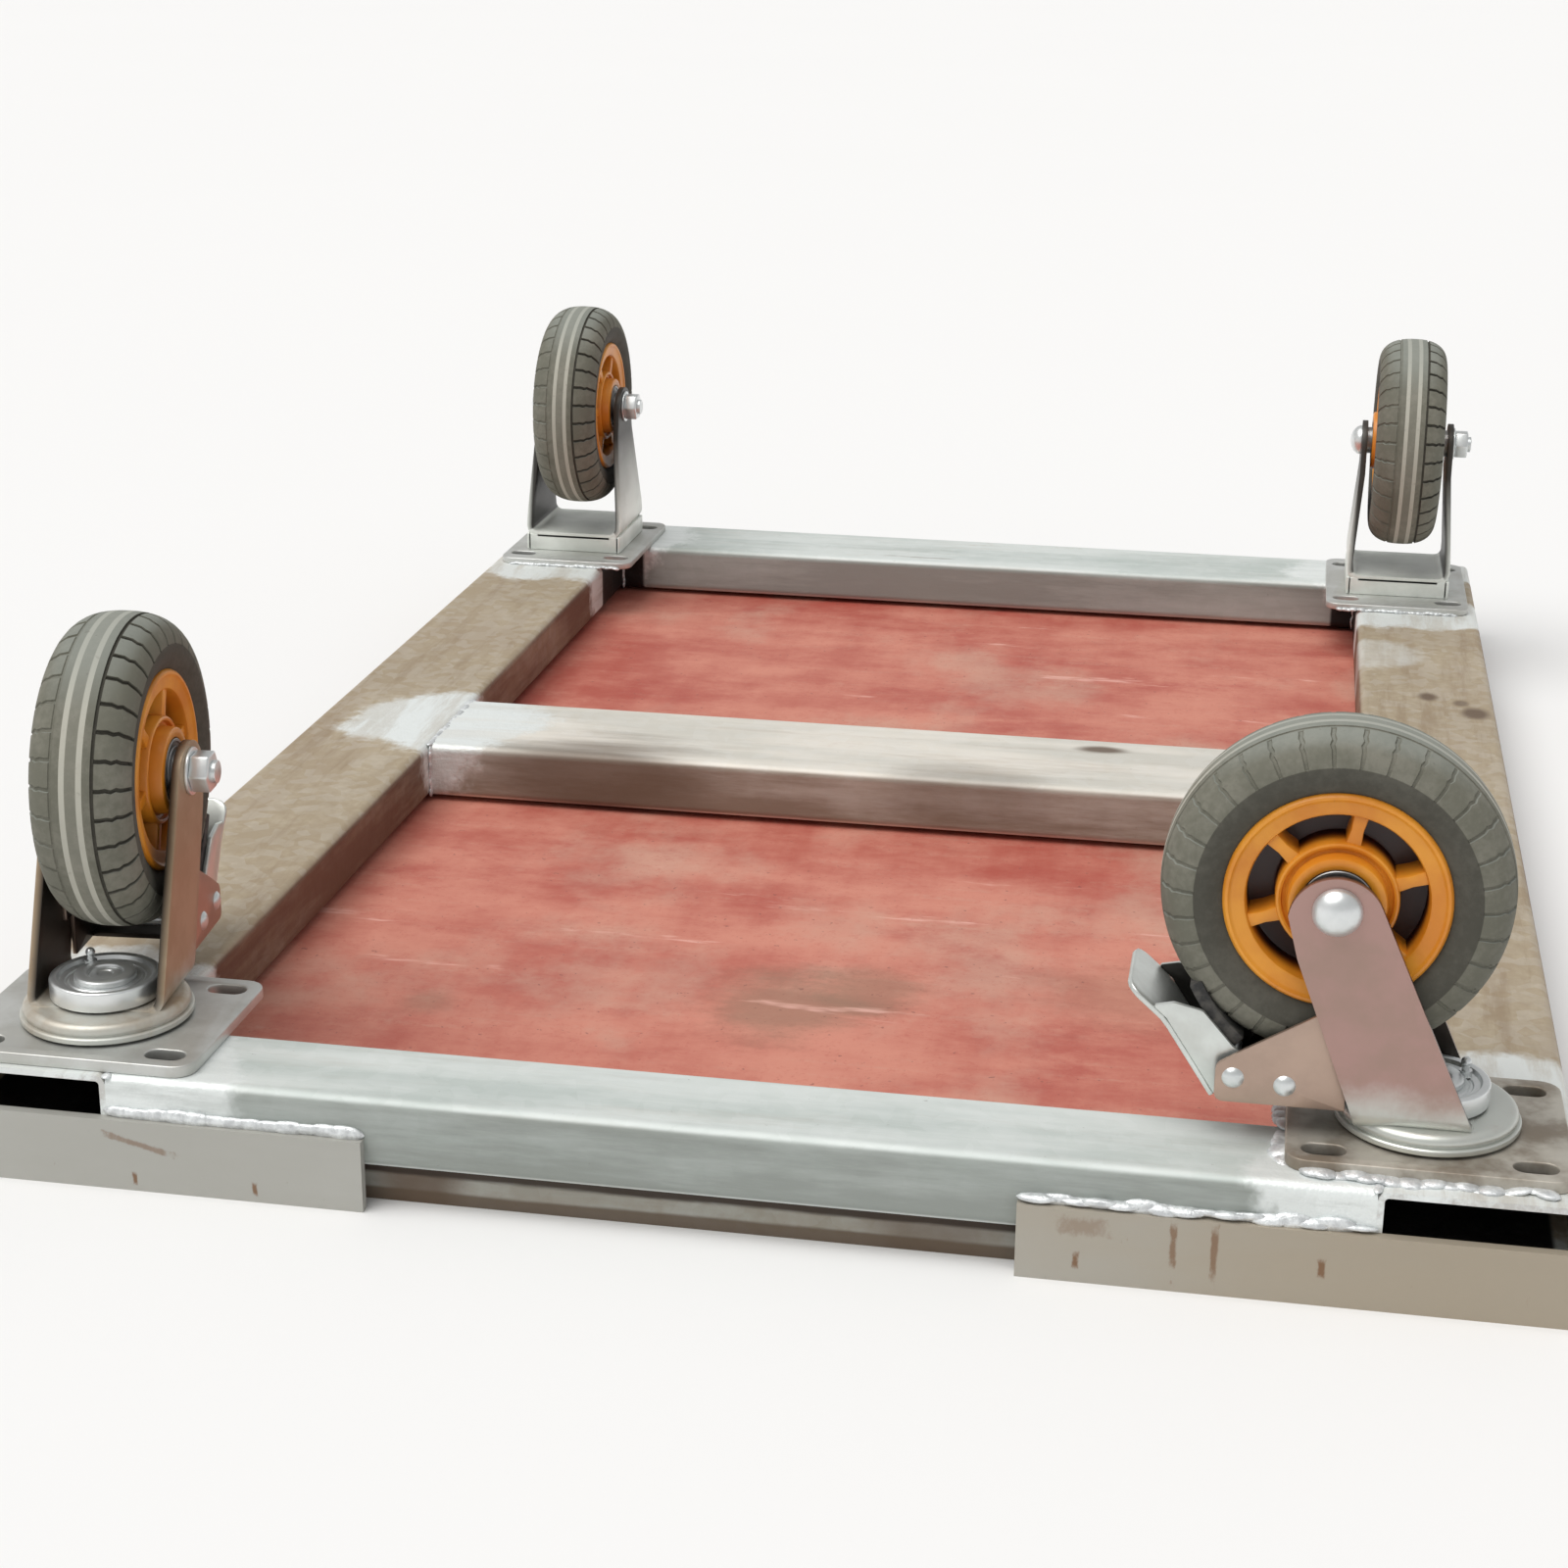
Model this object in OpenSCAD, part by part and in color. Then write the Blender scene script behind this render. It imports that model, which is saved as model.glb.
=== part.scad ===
// Flatbed platform truck, lying upturned on its load face with the castors up.
// Origin: bottom centre of the load face. +X right, +Y from the swivel end to the fixed end, +Z up.

/* [Frame] */
// Overall width of the welded frame
frame_w = 770; // [640:10:1000]
// Overall length of the welded frame
frame_l = 1120; // [900:10:1500]
// Height of every rectangular tube, laid on its wide face
beam_h = 35; // [30:1:50]
// Wall of the rectangular tube
tube_wall = 3; // [2:0.5:5]
// Outside corner radius of the rectangular tube
tube_corner_r = 5; // [4:0.5:7]
// Width of the two side beams
side_beam_w = 90; // [70:1:110]
// Width of the cross beam at the swivel end
swivel_beam_w = 60; // [50:1:80]
// Width of the cross beam in the middle
mid_beam_w = 100; // [70:1:120]
// Width of the cross beam at the fixed end
fixed_beam_w = 80; // [60:1:100]

/* [Deck] */
// Height from the load face to the beams
deck_h = 21; // [19:0.5:26]
// Thickness of the plywood board
board_t = 15; // [12:0.5:18]
// Thickness of the rim angle around the board
rim_t = 3; // [2:0.5:4]
// Width of the rim angle's flange on the load face
rim_flange = 25; // [15:1:40]
// Distance from the frame's outer faces in to the rim angle
rim_inset = 10; // [5:1:20]
// Clearance between the board's edge and the rim angle
board_clearance = 1; // [0.5:0.5:2]
// Thickness of the two corner plates
corner_plate_t = 5; // [3:0.5:6]
// Length of the left corner plate
corner_plate_left_l = 217; // [120:1:260]
// Length of the right corner plate
corner_plate_right_l = 247; // [120:1:260]
// Height by which the corner plates lap the beam
corner_plate_lap = 15; // [10:1:25]

/* [Castors] */
// Diameter of the wheel over the tyre
wheel_d = 156; // [140:1:165]
// Width of the tyre
tyre_w = 50; // [40:1:54]
// Diameter of the hub's rim, inside the tyre
hub_rim_d = 100; // [90:1:106]
// Gap between the tyre and the face that the castors stand on
wheel_gap = 39; // [36:1:55]
// Gap between a fork's two legs
fork_gap = 60; // [58:1:70]
// Sheet thickness of the forks
fork_t = 4; // [3:0.5:5]
// Distance from the frame's side to the swivel axes
castor_inset = 68; // [64:1:80]
// Distance from the frame's side to the fixed castors' centre line
fixed_castor_inset = 60; // [54:1:80]
// Distance from the swivel end to the left swivel axis
swivel_inset = 57; // [55:1:120]
// How much further in the right swivel axis lies
swivel_stagger = 8; // [0:1:12]
// Distance from the fixed end to the fixed axles
fixed_inset = 85; // [82:1:150]
// Sideways distance from a swivel axis to its wheel's axle
trail = 48; // [44:1:52]
// Heading of the left swivel castor, 0 with the wheel trailing to the fixed end
left_heading = 5; // [0:5:355]
// Heading of the right swivel castor, 90 with the wheel trailing to the left
right_heading = 90; // [0:5:355]

/* [Castor plates] */
// Thickness of the swivel castors' plates
swivel_plate_t = 6; // [5:0.5:8]
// Thickness of the fixed castors' plates
fixed_plate_t = 5; // [4:0.5:8]
// Width of the plates' slots
slot_w = 11; // [9:0.5:13]
// End-to-end length of the plates' slots
slot_l = 20; // [14:1:22]

/* [Brake] */
// Angle through which a pressed pedal turns
press_angle = 10; // [6:1:12]
// Sheet thickness of the brake bracket and the pedal
brake_t = 2.5; // [2:0.5:3]
// Width of the pedal
pedal_w = 50; // [44:1:52]

/* [Fits] */
// Radial clearance of a shaft that turns in a bore
running_clearance = 0.05; // [0.02:0.01:0.1]
// Clearance between curved faces of bodies that move apart
rolling_clearance = 0.3; // [0.2:0.05:0.4]

/* [Hidden] */
$fn = 64;
cut = 1;                                     // overrun of a cut past a face
left = -1;
right = 1;

// Frame places
y_swivel_end = -(frame_l + corner_plate_t) / 2 + corner_plate_t;
y_fixed_end = y_swivel_end + frame_l;
beam_face = deck_h + beam_h;                 // the face that the castors stand on
cross_l = frame_w - 2 * side_beam_w;
rim_x = frame_w / 2 - rim_inset;             // outer face of the side rims
rim_l = frame_l - 2 * rim_inset;
swivel_x = frame_w / 2 - castor_inset;
fixed_x = frame_w / 2 - fixed_castor_inset;
swivel_y = y_swivel_end + swivel_inset;      // of the left swivel axis
fixed_y = y_fixed_end - fixed_inset;

// Wheel and axle
wheel_r = wheel_d / 2;
axle_h = wheel_r + wheel_gap;                // height over the face that the castors stand on
hub_rim_r = hub_rim_d / 2;
axle_r = 6;
sleeve_r = 10;
bearing_r = 16;
bearing_w = 11;
boss_r = 27;
boss_nose_r = 21;
boss_l = fork_gap - 7;
hub_w = tyre_w - 6;
window_r = hub_rim_r - 10.5;                 // outer radius of the windows between the spokes
spoke_t = 6;
spokes = 6;
leg_r = 21;                                  // rounded end of a fork leg
leg_drop = 6;                                // from the axle down to the centre of that rounding
fork_foot = [-19, 33];                       // where a swivel fork's legs start and end on its crown
leg_in = fork_gap / 2;
leg_out = leg_in + fork_t;

// Swivel head, heights over the face that the castors stand on
kingpin_r = 8;
kingpin_head_r = 13;
upper_ball_r = 3.2;
upper_ring_r = 33;
upper_balls = 28;
lower_ball_r = 2.5;
lower_ring_r = 19;
lower_balls = 20;
ball_seat = 0.05;                            // gap under a ball on the part that carries it
crown_z = swivel_plate_t + ball_seat + 2 * upper_ball_r + rolling_clearance;
crown_top = crown_z + fork_t;
crown_r = 42;
cup_z = crown_top + rolling_clearance + 2 * lower_ball_r + ball_seat;
cup_t = 3;
cup_r = 27;
cup_top = cup_z + cup_t;
cup_rim = 2.6;                               // height of the cup's rim over its floor
nut_r = 15;
nut_h = 3.5;
kingpin_top = cup_top + nut_h - 1;

// Brake, in the fork's own side view: distance behind the swivel axis, height
bracket_in = leg_in - brake_t;
bracket_z = crown_top + 3.5;
pivot = [trail + 40, bracket_z + 12];
tie = [trail + 17, bracket_z + 10];
pin_r = 3;
pin_head_r = 5;
pin_head_t = 2;
pedal_foot = pivot + [8, -11];
pedal_knee = pivot + [31, 24];
pedal_tip = pivot + [48, 39];
wheel_centre = [trail, axle_h];
shoe_gap = 0.4;
shoe_t = 6;

// ---- shared shapes ----

module rounded_rect(w, h, r) {
    square([w, h - 2 * r], center = true);
    square([w - 2 * r, h], center = true);
    for (x = [-1, 1], y = [-1, 1])
        translate([x * (w / 2 - r), y * (h / 2 - r)]) circle(r);
}

// Rectangular tube along Z, wide side along X
module rect_tube(w, l) {
    linear_extrude(l) difference() {
        rounded_rect(w, beam_h, tube_corner_r);
        rounded_rect(w - 2 * tube_wall, beam_h - 2 * tube_wall, tube_corner_r - tube_wall);
    }
}

module slot(w, l) {
    square([l - w, w], center = true);
    for (x = [-1, 1]) translate([x * (l - w) / 2, 0]) circle(w / 2);
}

// A side view (distance behind the axis, height) made into a sheet across X
module sheet(x, t) {
    translate([x, 0, 0]) rotate([90, 0, 90]) linear_extrude(t) children();
}

// Children on both sides of the fork: the sheet's inner face lies at x
module sheet_pair(x, t) {
    sheet(x, t) children();
    sheet(-x - t, t) children();
}

module cross_hole(p, r, l) {
    translate([-l / 2, p[0], p[1]]) rotate([0, 90, 0]) cylinder(r = r, h = l);
}

module at_swivel(side) {
    translate([side * swivel_x, swivel_y + (side == right ? swivel_stagger : 0), beam_face]) children();
}

// The turning part of a swivel castor at its heading
module turned(side) {
    at_swivel(side) rotate([0, 0, side == left ? left_heading : right_heading]) children();
}

module at_fixed(side) {
    translate([side * fixed_x, fixed_y, beam_face]) children();
}

// ---- frame ----

module side_beam(side) {
    color([0.66, 0.60, 0.50])
    translate([side * (frame_w - side_beam_w) / 2, y_swivel_end, deck_h + beam_h / 2])
        rotate([-90, 0, 0]) rect_tube(side_beam_w, frame_l);
}

module cross_beam(y, w) {
    color([0.72, 0.74, 0.70])
    translate([-cross_l / 2, y, deck_h + beam_h / 2])
        rotate([0, 90, 0]) rotate([0, 0, 90]) rect_tube(w, cross_l);
}

module deck_board() {
    color([0.55, 0.20, 0.18])
    translate([0, (y_swivel_end + y_fixed_end) / 2, rim_t])
        linear_extrude(board_t)
            square([2 * (rim_x - rim_t - board_clearance), rim_l - 2 * (rim_t + board_clearance)], center = true);
}

// Rim angle across an end, its corner at the load face
module rim_end(y, inward) {
    color([0.66, 0.66, 0.62])
    translate([-rim_x, y, 0]) rotate([90, 0, 90]) linear_extrude(2 * rim_x)
        polygon([[0, 0], [inward * rim_flange, 0], [inward * rim_flange, rim_t],
                 [inward * rim_t, rim_t], [inward * rim_t, deck_h], [0, deck_h]]);
}

// Rim angle along a side, its flange notched between those of the end rims
module rim_side(side) {
    y = y_swivel_end + rim_inset;
    x_leg = side == right ? rim_x - rim_t : -rim_x;
    x_flange = side == right ? rim_x - rim_flange : -rim_x;
    color([0.66, 0.66, 0.62]) {
        translate([x_leg, y + rim_t, rim_t]) cube([rim_t, rim_l - 2 * rim_t, deck_h - rim_t]);
        translate([x_flange, y + rim_flange, 0]) cube([rim_flange, rim_l - 2 * rim_flange, rim_t]);
    }
}

module corner_plate(side, l) {
    color([0.70, 0.70, 0.66])
    translate([side == right ? frame_w / 2 - l : -frame_w / 2, y_swivel_end - corner_plate_t, 0])
        cube([l, corner_plate_t, deck_h + corner_plate_lap]);
}

// ---- castor plates ----

module castor_plate(size, pitch, t) {
    difference() {
        linear_extrude(t) rounded_rect(size[0], size[1], 10);
        for (x = [-1, 1], y = [-1, 1])
            translate([x * pitch[0] / 2, y * pitch[1] / 2, -cut]) linear_extrude(t + 2 * cut) slot(slot_w, slot_l);
    }
}

module swivel_plate(side) {
    color([0.74, 0.75, 0.74])
    at_swivel(side) difference() {
        castor_plate([126, 106], [92, 80], swivel_plate_t);
        translate([0, 0, -cut]) cylinder(r = kingpin_r + running_clearance, h = swivel_plate_t + 2 * cut);
        translate([0, 0, -0.01]) cylinder(r1 = kingpin_head_r + running_clearance,
                                          r2 = kingpin_r + running_clearance, h = kingpin_head_r - kingpin_r);
    }
}

module fixed_plate(side) {
    color([0.74, 0.75, 0.74])
    at_fixed(side) castor_plate([106, 140], [76, 104], fixed_plate_t);
}

// ---- swivel head ----

module kingpin(side) {
    color([0.80, 0.81, 0.82])
    at_swivel(side) {
        cylinder(r1 = kingpin_head_r, r2 = kingpin_r, h = kingpin_head_r - kingpin_r);
        cylinder(r = kingpin_r, h = kingpin_top - 1);
        translate([0, 0, kingpin_top - 1]) cylinder(r1 = kingpin_r, r2 = kingpin_r - 1, h = 1);
    }
}

module race_cup(side) {
    color([0.82, 0.83, 0.84])
    at_swivel(side) rotate_extrude()
        polygon([[kingpin_r + running_clearance, cup_z], [lower_ring_r + lower_ball_r + 0.6, cup_z],
                 [cup_r - cup_t + 0.8, crown_top + 0.8], [cup_r, crown_top + 0.8],
                 [cup_r, cup_top + cup_rim - 1.2], [cup_r - 1.2, cup_top + cup_rim], [cup_r - 3.4, cup_top + cup_rim],
                 [cup_r - 5, cup_top], [kingpin_r + running_clearance, cup_top]]);
}

module kingpin_nut(side) {
    color([0.80, 0.81, 0.82])
    at_swivel(side) translate([0, 0, cup_top]) difference() {
        union() {
            cylinder(r = nut_r, h = nut_h - 1);
            translate([0, 0, nut_h - 1]) cylinder(r1 = nut_r, r2 = nut_r - 1, h = 1);
        }
        translate([0, 0, -cut]) cylinder(r = kingpin_r + running_clearance, h = nut_h + 2 * cut);
    }
}

module ball_ring(balls, ring_r, ball_r, z) {
    for (i = [0:balls - 1])
        rotate([0, 0, i * 360 / balls]) translate([ring_r, 0, z]) sphere(ball_r, $fn = 24);
}

module race_balls(side) {
    color([0.86, 0.87, 0.88])
    at_swivel(side) {
        ball_ring(upper_balls, upper_ring_r, upper_ball_r, swivel_plate_t + ball_seat + upper_ball_r);
        ball_ring(lower_balls, lower_ring_r, lower_ball_r, cup_z - ball_seat - lower_ball_r);
    }
}

module grease_nipple(side, angle) {
    at_swivel(side) rotate([0, 0, angle]) translate([(nut_r + cup_r - 5) / 2, 0, cup_top]) {
        cylinder(r = 3, h = 3);
        translate([0, 0, 3]) cylinder(r = 1.8, h = 3);
        translate([0, 0, 7]) sphere(2.4, $fn = 24);
    }
}

module grease_nipples() {
    color([0.85, 0.86, 0.87]) {
        grease_nipple(left, 135);
        grease_nipple(right, 30);
    }
}

// ---- forks ----

// Side view of a leg from its foot, which starts and ends at foot, at height z, up to its rounded end by the axle
module leg_outline(foot, z, axle) {
    end = axle - [0, leg_drop];
    run = end - [(foot[0] + foot[1]) / 2, z];
    across = [run[1], -run[0]] / norm(run) * leg_r;
    translate(end) circle(leg_r);
    polygon([[foot[0], z], [foot[1], z], end + across, end - across]);
}

module swivel_fork(side) {
    color([0.68, 0.66, 0.62])
    turned(side) difference() {
        union() {
            rotate_extrude()
                polygon([[0, crown_z], [upper_ring_r + upper_ball_r + 0.9, crown_z],
                         [crown_r - fork_t + 0.5, swivel_plate_t + 1.2], [crown_r, swivel_plate_t + 1.2],
                         [crown_r, crown_z - 0.8], [crown_r - 2.5, crown_top], [0, crown_top]]);
            translate([-leg_out, fork_foot[0], crown_z]) cube([2 * leg_out, fork_foot[1] - fork_foot[0], fork_t]);
            sheet_pair(leg_in, fork_t) leg_outline(fork_foot, crown_z, wheel_centre);
        }
        translate([0, 0, crown_z - cut]) cylinder(r = kingpin_r + running_clearance, h = fork_t + 2 * cut);
        cross_hole(wheel_centre, axle_r + running_clearance, 2 * (leg_out + cut));
    }
}

// Fork of a fixed castor: legs that splay to a raised base with a lip at its front and back
module fixed_fork(side) {
    splay = 4.5;
    base_z = fixed_plate_t + 15;
    knee_z = axle_h - 22;
    half_l = 40;
    axle = [0, axle_h];
    color([0.72, 0.74, 0.70])
    at_fixed(side) difference() {
        union() {
            intersection() {
                sheet(-leg_out - splay - cut, 2 * (leg_out + splay + cut)) union() {
                    leg_outline([-half_l, half_l], base_z, axle);
                    translate([-half_l, fixed_plate_t]) square([2 * half_l, base_z - fixed_plate_t + 0.01]);
                }
                for (s = [-1, 1])
                    translate([0, half_l + cut, 0]) rotate([90, 0, 0]) linear_extrude(2 * (half_l + cut))
                        polygon([[s * leg_in, axle_h + leg_r + cut], [s * leg_out, axle_h + leg_r + cut],
                                 [s * leg_out, knee_z], [s * (leg_out + splay), base_z + 6],
                                 [s * (leg_out + splay), fixed_plate_t], [s * (leg_in + splay), fixed_plate_t],
                                 [s * (leg_in + splay), base_z + 6], [s * leg_in, knee_z]]);
            }
            translate([-leg_in - splay, -half_l, base_z - fork_t])
                cube([2 * (leg_in + splay), 2 * half_l, fork_t]);
            for (y = [-half_l, half_l - fork_t])
                translate([-leg_in - splay, y, fixed_plate_t])
                    cube([2 * (leg_in + splay), fork_t, base_z - fixed_plate_t]);
        }
        cross_hole(axle, axle_r + running_clearance, 2 * (leg_out + cut));
    }
}

// ---- axles ----

module axle_bolt(axle) {
    head_r = 11;
    thread_out = 14;
    color([0.82, 0.83, 0.83])
    translate([0, axle[0], axle[1]]) rotate([0, 90, 0]) {
        translate([0, 0, -leg_out]) cylinder(r = axle_r, h = 2 * leg_out + thread_out);
        translate([0, 0, -leg_out]) mirror([0, 0, 1]) rotate_extrude()
            polygon([[0, 0], [head_r, 0], [head_r, 2.5], [head_r - 1.4, 5.2], [head_r - 5, 7.4], [0, 8.4]]);
    }
}

module axle_nut(axle) {
    color([0.82, 0.83, 0.83])
    translate([leg_out, axle[0], axle[1]]) rotate([0, 90, 0]) difference() {
        union() {
            cylinder(r = 12, h = 1.5);
            translate([0, 0, 1.5]) cylinder(r = 10.8, h = 10, $fn = 6);
        }
        translate([0, 0, -cut]) cylinder(r = axle_r + running_clearance, h = 12 + 2 * cut);
    }
}

module axle_sleeve(axle) {
    color([0.60, 0.60, 0.60])
    translate([-leg_in, axle[0], axle[1]]) rotate([0, 90, 0]) difference() {
        cylinder(r = sleeve_r, h = 2 * leg_in);
        translate([0, 0, -cut]) cylinder(r = axle_r + running_clearance, h = 2 * (leg_in + cut));
    }
}

// Both fixed castors carry the same axle pieces
module on_fixed_axles() {
    for (side = [left, right]) at_fixed(side) children();
}

// ---- brake ----

module brake_bracket(side) {
    front = fork_foot[1] + 5;
    outline = [[front, bracket_z], [pivot[0] + 5, bracket_z], [pivot[0] + 8, bracket_z + 3],
               [pivot[0] + 8, bracket_z + 18], [pivot[0] - 4, bracket_z + 26],
               [trail, bracket_z + 48], [trail - 20, bracket_z + 48], [trail - 20, bracket_z + 22],
               [front, bracket_z + 22]];
    color([0.70, 0.68, 0.64])
    turned(side) difference() {
        union() {
            sheet_pair(bracket_in, brake_t) polygon(outline);
            translate([-leg_in, trail + 14, bracket_z]) cube([2 * leg_in, pivot[0] + 4 - trail - 14, brake_t]);
        }
        for (p = [pivot, tie]) cross_hole(p, pin_r + running_clearance, 2 * (leg_in + cut));
    }
}

module brake_rivets(side) {
    color([0.84, 0.85, 0.85])
    turned(side) for (p = [pivot, tie]) {
        cross_hole(p, pin_r, 2 * leg_in);
        for (s = [-1, 1])
            translate([s * leg_in, p[0], p[1]]) rotate([0, s * 90, 0])
                cylinder(r1 = pin_head_r, r2 = pin_head_r - 1.5, h = pin_head_t);
    }
}

module brake_pedal(side) {
    shank = (pedal_knee - pedal_foot) / norm(pedal_knee - pedal_foot);
    tread = (pedal_tip - pedal_knee) / norm(pedal_tip - pedal_knee);
    shank_out = [shank[1], -shank[0]];
    tread_out = [tread[1], -tread[0]];
    cheek = [pedal_foot, pedal_knee, pedal_knee + 9 * tread, pivot + [28, 32], pivot + [15, 29], pivot + [1, 13],
             pivot + [-6, 7]];
    color([0.80, 0.81, 0.80])
    turned(side) difference() {
        union() {
            sheet(-pedal_w / 2, pedal_w) polygon([
                pedal_foot, pedal_knee, pedal_tip, pedal_tip + brake_t * tread_out,
                pedal_knee + brake_t * (shank_out + tread_out) / 2, pedal_foot + brake_t * shank_out]);
            sheet_pair(pedal_w / 2 - brake_t, brake_t) union() {
                polygon(cheek);
                translate(pivot) circle(9);
            }
        }
        cross_hole(pivot, pin_r + running_clearance, pedal_w + 2 * cut);
    }
}

// Curved pad that meets the tread when the pedal is pressed
module brake_shoe(side) {
    shoe_w = pedal_w - 2 * brake_t;
    inner = wheel_r + shoe_gap;
    reach = inner + shoe_t + 10;
    color([0.30, 0.30, 0.31])
    turned(side) sheet(-shoe_w / 2, shoe_w)
        translate(pivot) rotate(-press_angle) translate(wheel_centre - pivot)
            intersection() {
                difference() {
                    circle(inner + shoe_t, $fn = 180);
                    circle(inner, $fn = 180);
                }
                polygon([[0, 0], for (a = [-60, -48, -36]) reach * [cos(a), sin(a)]]);
            }
}

// ---- wheels ----

function squash(v) = sign(v) * pow(abs(v), 0.8);

module tyre() {
    belly_r = hub_rim_r + 9;
    bead_w = tyre_w - 8;
    crown = [for (a = [0:10:180]) [belly_r + (wheel_r - belly_r) * squash(sin(a)), tyre_w / 2 * squash(cos(a))]];
    color([0.36, 0.37, 0.36])
    rotate([0, 90, 0]) rotate_extrude($fn = 96)
        polygon([[hub_rim_r, bead_w / 2], each crown, [hub_rim_r, -bead_w / 2]]);
}

module hub() {
    web_t = 5;
    core_r = sleeve_r + 2;
    pocket_w = boss_l - 2 * bearing_w;
    color([0.86, 0.50, 0.10])
    rotate([0, 90, 0]) difference() {
        union() {
            difference() {
                cylinder(r = hub_rim_r, h = hub_w, center = true);
                cylinder(r = window_r, h = hub_w + 2 * cut, center = true);
            }
            cylinder(r = window_r + 1, h = web_t, center = true);
            cylinder(r = boss_r, h = hub_w - 2, center = true);
            cylinder(r = boss_nose_r, h = boss_l, center = true);
            for (i = [0:spokes - 1])
                rotate([0, 0, (i + 0.5) * 360 / spokes]) translate([boss_r - 2, -spoke_t / 2, -hub_w / 2 + 3])
                    cube([window_r - boss_r + 3, spoke_t, hub_w - 6]);
        }
        cylinder(r = core_r, h = boss_l + 2 * cut, center = true);
        for (s = [0, 180])
            rotate([s, 0, 0]) translate([0, 0, pocket_w / 2]) cylinder(r = bearing_r, h = bearing_w + cut);
    }
}

module bearings() {
    color([0.55, 0.56, 0.58])
    for (s = [-1, 1])
        translate([s * (boss_l - bearing_w) / 2, 0, 0]) rotate([0, 90, 0]) difference() {
            cylinder(r = bearing_r, h = bearing_w, center = true);
            cylinder(r = sleeve_r + running_clearance, h = bearing_w + 2 * cut, center = true);
        }
}

// Children are centred on the wheel with their axle along X
module wheel_of_swivel(side) {
    turned(side) translate([0, trail, axle_h]) children();
}

module wheel_of_fixed(side) {
    at_fixed(side) translate([0, 0, axle_h]) children();
}

side_beam(left);  // side_beam_left
side_beam(right);  // side_beam_right
cross_beam(y_swivel_end + swivel_beam_w / 2, swivel_beam_w);  // swivel_end_beam
cross_beam((y_swivel_end + y_fixed_end) / 2, mid_beam_w);  // mid_beam
cross_beam(y_fixed_end - fixed_beam_w / 2, fixed_beam_w);  // fixed_end_beam
deck_board();
rim_end(y_swivel_end + rim_inset, 1);  // rim_swivel_end
rim_end(y_fixed_end - rim_inset, -1);  // rim_fixed_end
rim_side(left);  // rim_left
rim_side(right);  // rim_right
corner_plate(left, corner_plate_left_l);  // corner_plate_left
corner_plate(right, corner_plate_right_l);  // corner_plate_right
swivel_plate(left);  // swivel_plate_left
swivel_plate(right);  // swivel_plate_right
kingpin(left);  // kingpin_left
kingpin(right);  // kingpin_right
race_cup(left);  // race_cup_left
race_cup(right);  // race_cup_right
kingpin_nut(left);  // kingpin_nut_left
kingpin_nut(right);  // kingpin_nut_right
race_balls(left);  // race_balls_left
race_balls(right);  // race_balls_right
grease_nipples();
fixed_plate(left);  // fixed_plate_left
fixed_plate(right);  // fixed_plate_right
fixed_fork(left);  // fixed_fork_left
fixed_fork(right);  // fixed_fork_right
on_fixed_axles() axle_bolt([0, axle_h]);  // fixed_axle_bolts
on_fixed_axles() axle_nut([0, axle_h]);  // fixed_axle_nuts
on_fixed_axles() axle_sleeve([0, axle_h]);  // fixed_axle_sleeves
swivel_fork(left);  // swivel_fork_left
swivel_fork(right);  // swivel_fork_right
brake_bracket(left);  // brake_bracket_left
brake_bracket(right);  // brake_bracket_right
turned(left) axle_bolt(wheel_centre);  // axle_bolt_left
turned(right) axle_bolt(wheel_centre);  // axle_bolt_right
turned(left) axle_nut(wheel_centre);  // axle_nut_left
turned(right) axle_nut(wheel_centre);  // axle_nut_right
turned(left) axle_sleeve(wheel_centre);  // axle_sleeve_left
turned(right) axle_sleeve(wheel_centre);  // axle_sleeve_right
brake_rivets(left);  // brake_rivets_left
brake_rivets(right);  // brake_rivets_right
brake_pedal(left);  // brake_pedal_left
brake_pedal(right);  // brake_pedal_right
brake_shoe(left);  // brake_shoe_left
brake_shoe(right);  // brake_shoe_right
wheel_of_swivel(left) tyre();  // tyre_swivel_left
wheel_of_swivel(right) tyre();  // tyre_swivel_right
wheel_of_fixed(left) tyre();  // tyre_fixed_left
wheel_of_fixed(right) tyre();  // tyre_fixed_right
wheel_of_swivel(left) hub();  // hub_swivel_left
wheel_of_swivel(right) hub();  // hub_swivel_right
wheel_of_fixed(left) hub();  // hub_fixed_left
wheel_of_fixed(right) hub();  // hub_fixed_right
wheel_of_swivel(left) bearings();  // bearings_swivel_left
wheel_of_swivel(right) bearings();  // bearings_swivel_right
wheel_of_fixed(left) bearings();  // bearings_fixed_left
wheel_of_fixed(right) bearings();  // bearings_fixed_right
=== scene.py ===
"""Looks of a flatbed platform truck that lies upturned on its load face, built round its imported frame.

Each sub-assembly is a class. It builds its meshes in millimetres in its own frame (X across, Y behind, Z away
from the deck), and a place matrix carries them to where the frame says, in metres.
"""

import logging
import math
from dataclasses import dataclass, field
from enum import Enum
from typing import Iterable, Optional, Sequence, Union

import bmesh
import bpy
from mathutils import Matrix, Vector

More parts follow.
